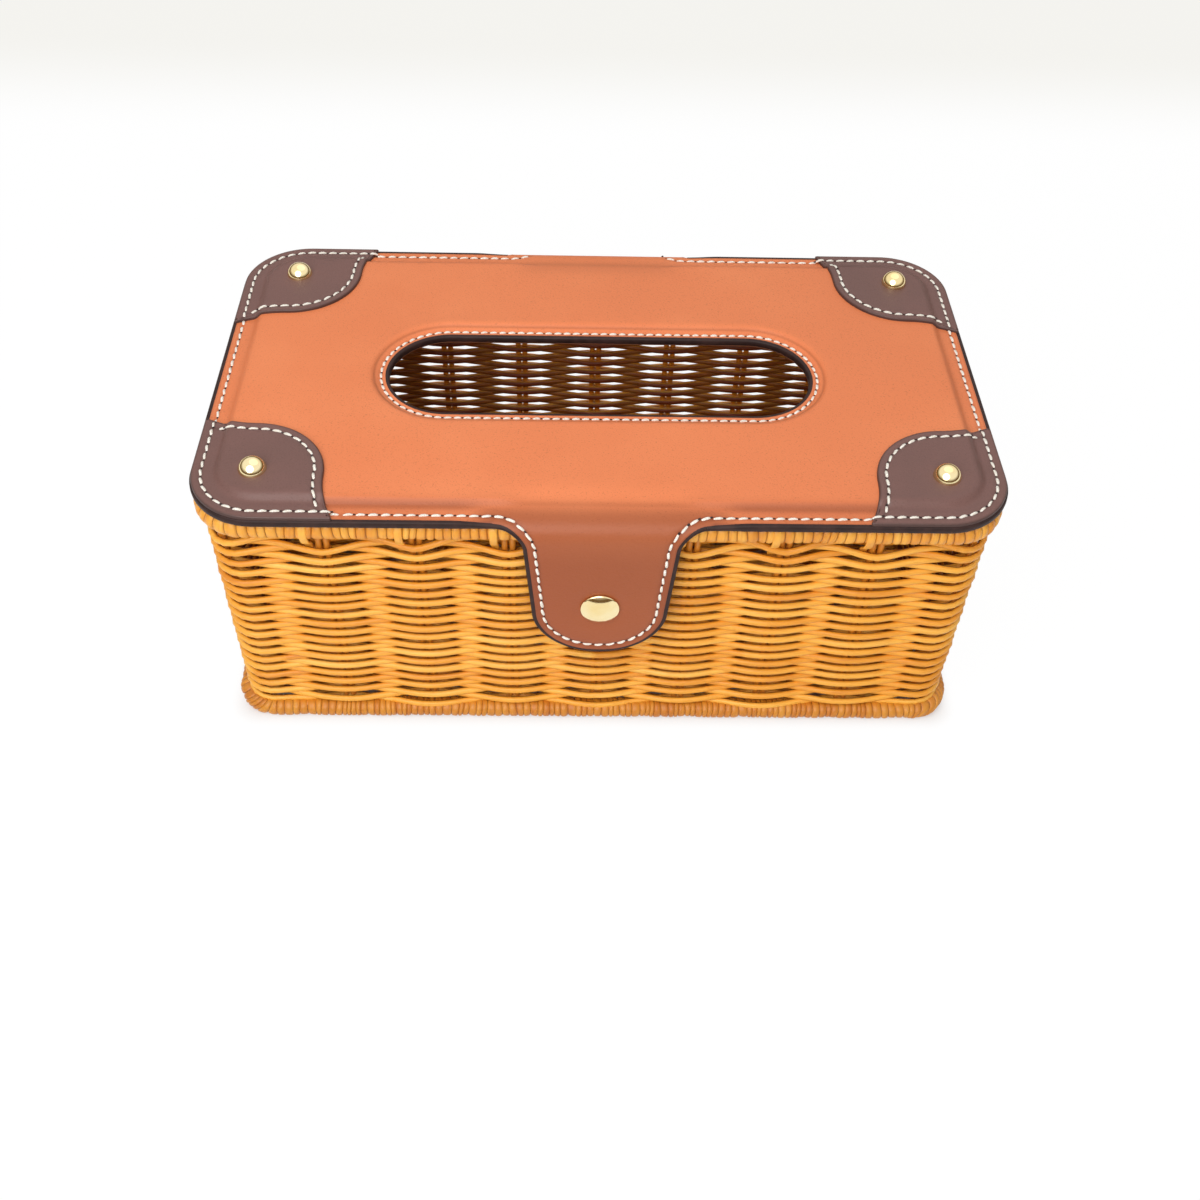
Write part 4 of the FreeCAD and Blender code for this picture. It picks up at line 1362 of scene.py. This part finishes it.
def makeStrap():
    y, z = strapLine()
    u = np.linspace(-1, 1, strapRows["columns"])
    width = strapWidth(z)
    x = u[None] * width[:, None]
    place = np.broadcast_to(np.arange(len(y), dtype=float)[:, None], x.shape)
    face, normal = strapPoint(x, place)
    length = lengthsAlong(np.stack([y, z], -1))
    edge = np.minimum((1 - np.abs(u))[None] * width[:, None], (length[-1] - length)[:, None])
    edge[:3] = 9
    burnish = 0.7 * edgeBurnish(edge)
    faces = gridFaces(*x.shape)
    skin = face - edgeDrop(edge)[..., None] * normal
    outer = addPiece("strapLeather", skin, [faces], tanLeather, merge=True, burnish=burnish)
    thicken(outer, lid["leather"])
    skin = face - lid["sheet"] * normal
    inner = addPiece("strapLining", skin, [faces[:, ::-1]], liningLeather, merge=True, burnish=0 * burnish)
    thicken(inner, lid["lining"])
    placeLine, widthLine = strapOutline()
    down, downNormal = strapPoint(-widthLine, placeLine)
    up, upNormal = strapPoint(widthLine[::-1][1:], placeLine[::-1][1:])
    normals = np.concatenate([downNormal, upNormal])
    line = np.concatenate([down, up]) - lid["sheet"] / 2 * normals
    both = evenly(np.concatenate([line, normals], -1), 0.8)
    rim = edgeBead("strapEdgePaint", smoothLine(both[:, :3], 1), -unit(both[:, 3:]), False)
    for piece, node, slot in (
        (outer, "back_strap_leather", "tan_leather"),
        (inner, "back_strap_lining", "lining_leather"),
        (rim, None, "brown_leather"),
    ):
        followStrap(piece)
        if node:
            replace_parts(piece, node)


makeStrap()
print("strap made")


# Stitching
stitch = {
    "pitch": 3.72,
    "slotPitch": 3.15,
    "length": 0.85,  # share of the pitch
    "radius": 0.42,
    "lean": 0.12,
    "hole": 0.52,
    "rings": 6,
    "sides": 7,
}


def stitchMeshes(name, points, normals, runs, pitch):
    # Each stitch is a thread that bows out of the leather and dives back at both ends,
    # and a flat dark disc between two is painted shade standing for the hole
    across = unit(np.cross(normals, runs))
    index = np.arange(len(points))
    lean = stitch["lean"] * (1 + 0.35 * np.sin(index * 2.4))
    runs = unit(runs * np.cos(lean)[:, None] + across * np.sin(lean)[:, None])
    across = unit(np.cross(normals, runs))
    bow = np.linspace(-1, 1, stitch["rings"]) * math.pi / 2
    turn = around(stitch["sides"])
    size = stitch["radius"] * (1 + 0.08 * np.sin(index * 5.1))
    length = stitch["length"] * pitch / 2 * (1 + 0.05 * np.sin(index * 3.3))
    fat = np.maximum(np.cos(bow), 0.0) ** 0.45 + 0.12
    fat = (size[:, None] * fat[None])[..., None]
    lift = 0.16 - 0.42 * np.sin(bow) ** 2
    side = fat * np.cos(turn)
    rise = lift[None, :, None] + 0.8 * fat * np.sin(turn)
    forward = (length[:, None] * np.sin(bow)[None])[..., None] + 0 * side
    shape = (
        points[:, None, None]
        + forward[..., None] * runs[:, None, None]
        + side[..., None] * across[:, None, None]
        + rise[..., None] * normals[:, None, None]
    )
    faces = [f[:, ::-1] for f in tubeFaces(*shape.shape[:3])]
    threadPiece = addPiece(name + "Thread", shape, faces, thread)
    # the holes are painted shade: flat discs in the edge paint's dark colour
    middles = points + runs * pitch / 2
    ringed = np.cos(turn)[:, None, None] * runs + 0.8 * np.sin(turn)[:, None, None] * across
    disc = middles[:, None] + np.swapaxes(stitch["hole"] * ringed, 0, 1)
    crown = (middles + 0.09 * normals)[:, None]
    fan = np.concatenate([disc, crown], 1)
    ids = np.arange(fan.shape[0] * fan.shape[1]).reshape(fan.shape[:2])
    rim, tip = ids[:, :-1], np.broadcast_to(ids[:, -1:], disc.shape[:2])
    triangles = np.stack([rim, np.roll(rim, -1, 1), tip], -1).reshape(-1, 3)
    holeShade = addPiece(name + "Holes", fan, [triangles], edgePaint)
    return threadPiece, holeShade


def stitchLine(name, face, normal, pitch):
    # Even places along a fine line of points and normals
    even = evenly(np.concatenate([face, normal], -1), pitch)
    points = even[:, :3]
    return stitchMeshes(name, points, unit(even[:, 3:]), unit(np.gradient(points, axis=0)), pitch)


def stitchAlong(name, line, closed, pitch):
    # A seam along a flat line on the lid or tab, lifted onto the patches where they lie
    fine = evenly(np.concatenate([line, line[:1]]) if closed else line, 0.25)
    raised, normal = lidTop(fine[:, 0], fine[:, 1])
    onPatch = inPatch(fine[:, 0], fine[:, 1]) * (fine[:, 1] > rollEdge)
    raised = raised + (lid["patch"] * onPatch - 0.24)[:, None] * normal
    return stitchLine(name, raised, normal, pitch)


def sewLid():
    pitch = stitch["pitch"]
    made = [(stitchAlong("edgeStitch", edgeStitch, False, pitch), followTab)]
    made.append((stitchAlong("slotStitch", stitchLines[1], True, stitch["slotPitch"]), None))
    for word, line in zip(("FrontLeft", "FrontRight", "BackLeft", "BackRight"), stitchLines[2:]):
        made.append((stitchAlong("patchStitch" + word, line, False, pitch), None))
    for pieces, follow in made:
        for piece in pieces:
            follow(piece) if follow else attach(piece, "lid")


def sewStrap():
    # The strap's seam keeps the same distance from its outline
    y, z = strapLine()
    length = lengthsAlong(np.stack([y, z], -1))
    place, width = strapOutline()
    stops = np.arange(len(y))
    run = np.interp(place, stops, length)
    keep = run > 0
    left = np.stack([-width[keep], -run[keep]], -1)
    right = np.stack([width[keep][::-1][1:], -run[keep][::-1][1:]], -1)
    seam = smoothLine(evenly(np.concatenate([left, right]), 0.5), 2)
    seam = smoothLine(insetLine(seam, lid["stitchInset"]), 2)
    seam = seam[-seam[:, 1] > 0.8]
    fine = evenly(seam, 0.25)
    face, normal = strapPoint(fine[:, 0], np.interp(-fine[:, 1], length, stops))
    for piece in stitchLine("strapStitch", face + 0.02 * normal, normal, stitch["pitch"]):
        followStrap(piece)


sewLid()
sewStrap()
print("stitched")


# Gold hardware
domes = {
    "rivet": {"radius": 4.35, "height": 4.0, "round": 48, "rings": 20, "lip": 0.35},
    "cap": {"radius": 6.25, "height": 2.3, "round": 64, "rings": 18, "lip": 0.3},
    "strapRivet": {"radius": 4.75, "height": 1.4, "round": 48, "rings": 16, "lip": 0.25},
}


def domePoints(s):
    # Turned profile: a short upright lip, a tight shoulder, then a spherical crown, spun about the axis
    radius, height, lip = s["radius"], s["height"], s["lip"]
    crown = height - lip
    ball = (radius**2 + crown**2) / (2 * crown)
    sweep = math.asin(min(radius / ball, 1.0)) if ball > crown else math.pi / 2
    angle = np.linspace(sweep, 0, s["rings"])
    r = np.concatenate([[radius * 0.985, radius], ball * np.sin(angle)[1:-1]])
    h = np.concatenate([[-0.15, lip], crown + lip - ball + ball * np.cos(angle)[1:-1]])
    turn = around(s["round"])
    x, y = r[:, None] * np.cos(turn), r[:, None] * np.sin(turn)
    ring = np.stack(np.broadcast_arrays(x, y, h[:, None]), -1)
    points = np.concatenate([ring.reshape(-1, 3), [[0, 0, height]]])
    rows = len(r)
    faces = gridFaces(rows, s["round"], closed=True)
    final = np.arange(s["round"]) + (rows - 1) * s["round"]
    fan = np.stack([final, np.roll(final, -1), np.full(s["round"], rows * s["round"])], -1)
    return points, faces, fan


def domeGroup(name, node, body, s, places, axes):
    # The same dome at several places, each with its own axes
    points, faces, fan = domePoints(s)
    shapes, quads, fans = [], [], []
    for k, (place, axis) in enumerate(zip(places, axes)):
        shapes.append(points @ np.array(axis, float) + place)
        quads.append(faces + k * len(points))
        fans.append(fan + k * len(points))
    faces = [np.concatenate(quads), np.concatenate(fans)]
    piece = addPiece(name, np.concatenate(shapes), faces, gold)
    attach(piece, body)
    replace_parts(piece, node)


upright = [[1, 0, 0], [0, 1, 0], [0, 0, 1]]
facingFront = [[1, 0, 0], [0, 0, 1], [0, -1, 0]]
facingBack = [[-1, 0, 0], [0, 0, 1], [0, 1, 0]]
rivetX, rivetY = lid["half"][0] - lid["rivetInset"], lid["half"][1] - lid["rivetInset"]
domeGroup(
    "cornerRivets",
    "corner_rivets",
    "lid",
    domes["rivet"],
    [(a * rivetX, b * rivetY, lid["border"] + lid["raise"] + lid["patch"]) for a, b in corners],
    [upright] * 4,
)
snapPlace = (0, -tongue["face"], tongue["snapHeight"])
domeGroup("snapCap", "snap_cap", "tab", domes["cap"], [snapPlace], [facingFront])
domeGroup(
    "strapRivets",
    "strap_rivets",
    "basket",
    domes["strapRivet"],
    [(side * strapShape["rivet"][0], strapShape["wallFace"], strapShape["rivet"][1]) for side in (-1, 1)],
    [facingBack] * 2,
)
print("hardware set")


# Solids that stay as they are get their finishes
finishes = {
    "upright_stakes": rodRattan,
    "base_sticks": rodRattan,
    "top_rim_core": rodRattan,
    "bottom_rim_core": rodRattan,
    "snap_keeper": steel,
    "snap_magnet": steel,
    "snap_washer": gold,
    "strap_washers": gold,
    "corner_rivet_washers": gold,
    "lid_board": board,
}
for node, material in finishes.items():
    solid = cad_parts[node]
    solid.data.materials.clear()
    solid.data.materials.append(material)
print("finishes given")


# Floor, light and camera
stageLook = {
    "size": 6.0,
    "height": -0.0002,  # just under the box's foot
    "underBox": (0.117, 0.062, 1.0),  # no glow beneath the box
    "white": 0.95,  # share of plain white that the floor shows to the camera
    "far": 0.40,  # depth at which the floor turns a little greyer
    "grey": (0.91, 0.9, 0.865, 1.0),
}


def makeStage():
    mesh = bpy.data.meshes.new("floor")
    s, z = stageLook["size"], stageLook["height"]
    mesh.from_pydata([(-s, -s, z), (s, -s, z), (s, s, z), (-s, s, z)], [], [(0, 1, 2, 3)])
    plane = addObject("floor", mesh)
    material = bpy.data.materials.new("paleFloor")
    material.use_nodes = True
    tree = material.node_tree
    tree.nodes.clear()
    wire = Wire(tree)
    place = wire.place()
    depth = wire.node("SeparateXYZ", {}, {0: place}, 1)
    past = wire.node("VectorMath", {"operation": "ABSOLUTE"}, {0: place})
    past = wire.node("VectorMath", {"operation": "SUBTRACT"}, {0: past, 1: stageLook["underBox"]})
    past = wire.node("VectorMath", {"operation": "MAXIMUM"}, {0: past, 1: (0, 0, 0)})
    past = wire.node("VectorMath", {"operation": "LENGTH"}, {0: past}, 1)
    far = depth.ease(stageLook["far"] - 0.07, stageLook["far"] + 0.05)
    tint = far.mix((1, 1, 1, 1), stageLook["grey"])
    seen = wire.node("LightPath", out=0)
    shiny = wire.node("LightPath", out=3)
    through = wire.node("LightPath", out=6)
    direct = wire.sum("MAXIMUM", wire.sum("MAXIMUM", seen, shiny), through)
    matt = wire.node("BsdfDiffuse", {}, {"Color": (0.86, 0.86, 0.86, 1)})
    glow = wire.node("Emission", {}, {"Color": tint, "Strength": 1.02})
    share = direct * stageLook["white"] * past.ease(0.0, 0.012)
    blended = wire.node("MixShader", {}, {0: share, 1: matt, 2: glow})
    wire.node("OutputMaterial", {}, {"Surface": blended})
    mesh.materials.append(material)

    world = bpy.data.worlds.new("studio")
    scene.world = world
    world.use_nodes = True
    world.node_tree.nodes.clear()
    wire = Wire(world.node_tree)
    # shiny metal sees a bright room above and a dark one at the horizon; everything else an even sky
    height = wire.node("SeparateXYZ", {}, {0: wire.node("TexCoord", out=0)}, 2)
    room = height.ease(0.12, 0.5).mix(lamps["horizon"], (1, 1, 1, 1))
    even = wire.node("Background", {}, {"Color": (1.0, 0.99, 0.97, 1), "Strength": lamps["sky"]})
    mirrored = wire.node("Background", {}, {"Color": room, "Strength": 1.0})
    both = wire.node("MixShader", {}, {0: wire.node("LightPath", out=3), 1: even, 2: mirrored})
    white = wire.node("Background", {}, {"Color": (1, 1, 1, 1), "Strength": 1.0})
    seen = wire.node("MixShader", {}, {0: wire.node("LightPath", out=0), 1: both, 2: white})
    wire.node("OutputWorld", {}, {"Surface": seen})


lamps = {
    "sky": 0.4,
    "horizon": (0.16, 0.1, 0.05, 1),
    "key": {"size": 0.8, "watts": 5.3, "place": (-0.2, -0.55, 0.62), "aim": (0.0, 0.0, 0.06)},
    "top": {"size": 1.3, "watts": 1.5, "place": (0.15, 0.35, 1.15), "aim": (0.0, 0.0, 0.06)},
}


def standAt(holder, right, up, back, place):
    turned = np.eye(4)
    turned[:3] = np.stack([right, up, back, place], -1)
    holder.matrix_world = Matrix(turned.tolist())


def makeLamp(name, s):
    lamp = bpy.data.lights.new(name, "AREA")
    lamp.shape, lamp.size, lamp.energy = "DISK", s["size"], s["watts"]
    place, aim = np.array(s["place"]), np.array(s["aim"])
    back = unit(place - aim)
    right = unit(np.cross([0, 0, 1.0], back))
    standAt(addObject(name, lamp), right, np.cross(back, right), back, place)


makeStage()
makeLamp("keyLight", lamps["key"])
makeLamp("topLight", lamps["top"])

view = {
    "place": (-0.0111, -0.35172, 0.37241),
    "pitch": 47.69,
    "yaw": 2.264,
    "roll": -2.151,
    "focal": 1327.3,  # in pixels of an image this wide
    "image": 1200,
}


def makeCamera():
    pitch, yaw, roll = np.radians([view["pitch"], view["yaw"], view["roll"]])
    level = math.cos(pitch)
    ahead = np.array([math.sin(yaw) * level, math.cos(yaw) * level, -math.sin(pitch)])
    right = unit(np.cross(ahead, [0, 0, 1.0]))
    down = np.cross(ahead, right)
    across = right * math.cos(roll) + down * math.sin(roll)
    below = -right * math.sin(roll) + down * math.cos(roll)
    lens = bpy.data.cameras.new("camera")
    lens.sensor_width = 36.0
    lens.lens = lens.sensor_width * view["focal"] / view["image"]
    lens.clip_start, lens.clip_end = 0.01, 50.0
    holder = addObject("camera", lens)
    standAt(holder, across, -below, -ahead, view["place"])
    scene.camera = holder


makeCamera()
print("stage set")
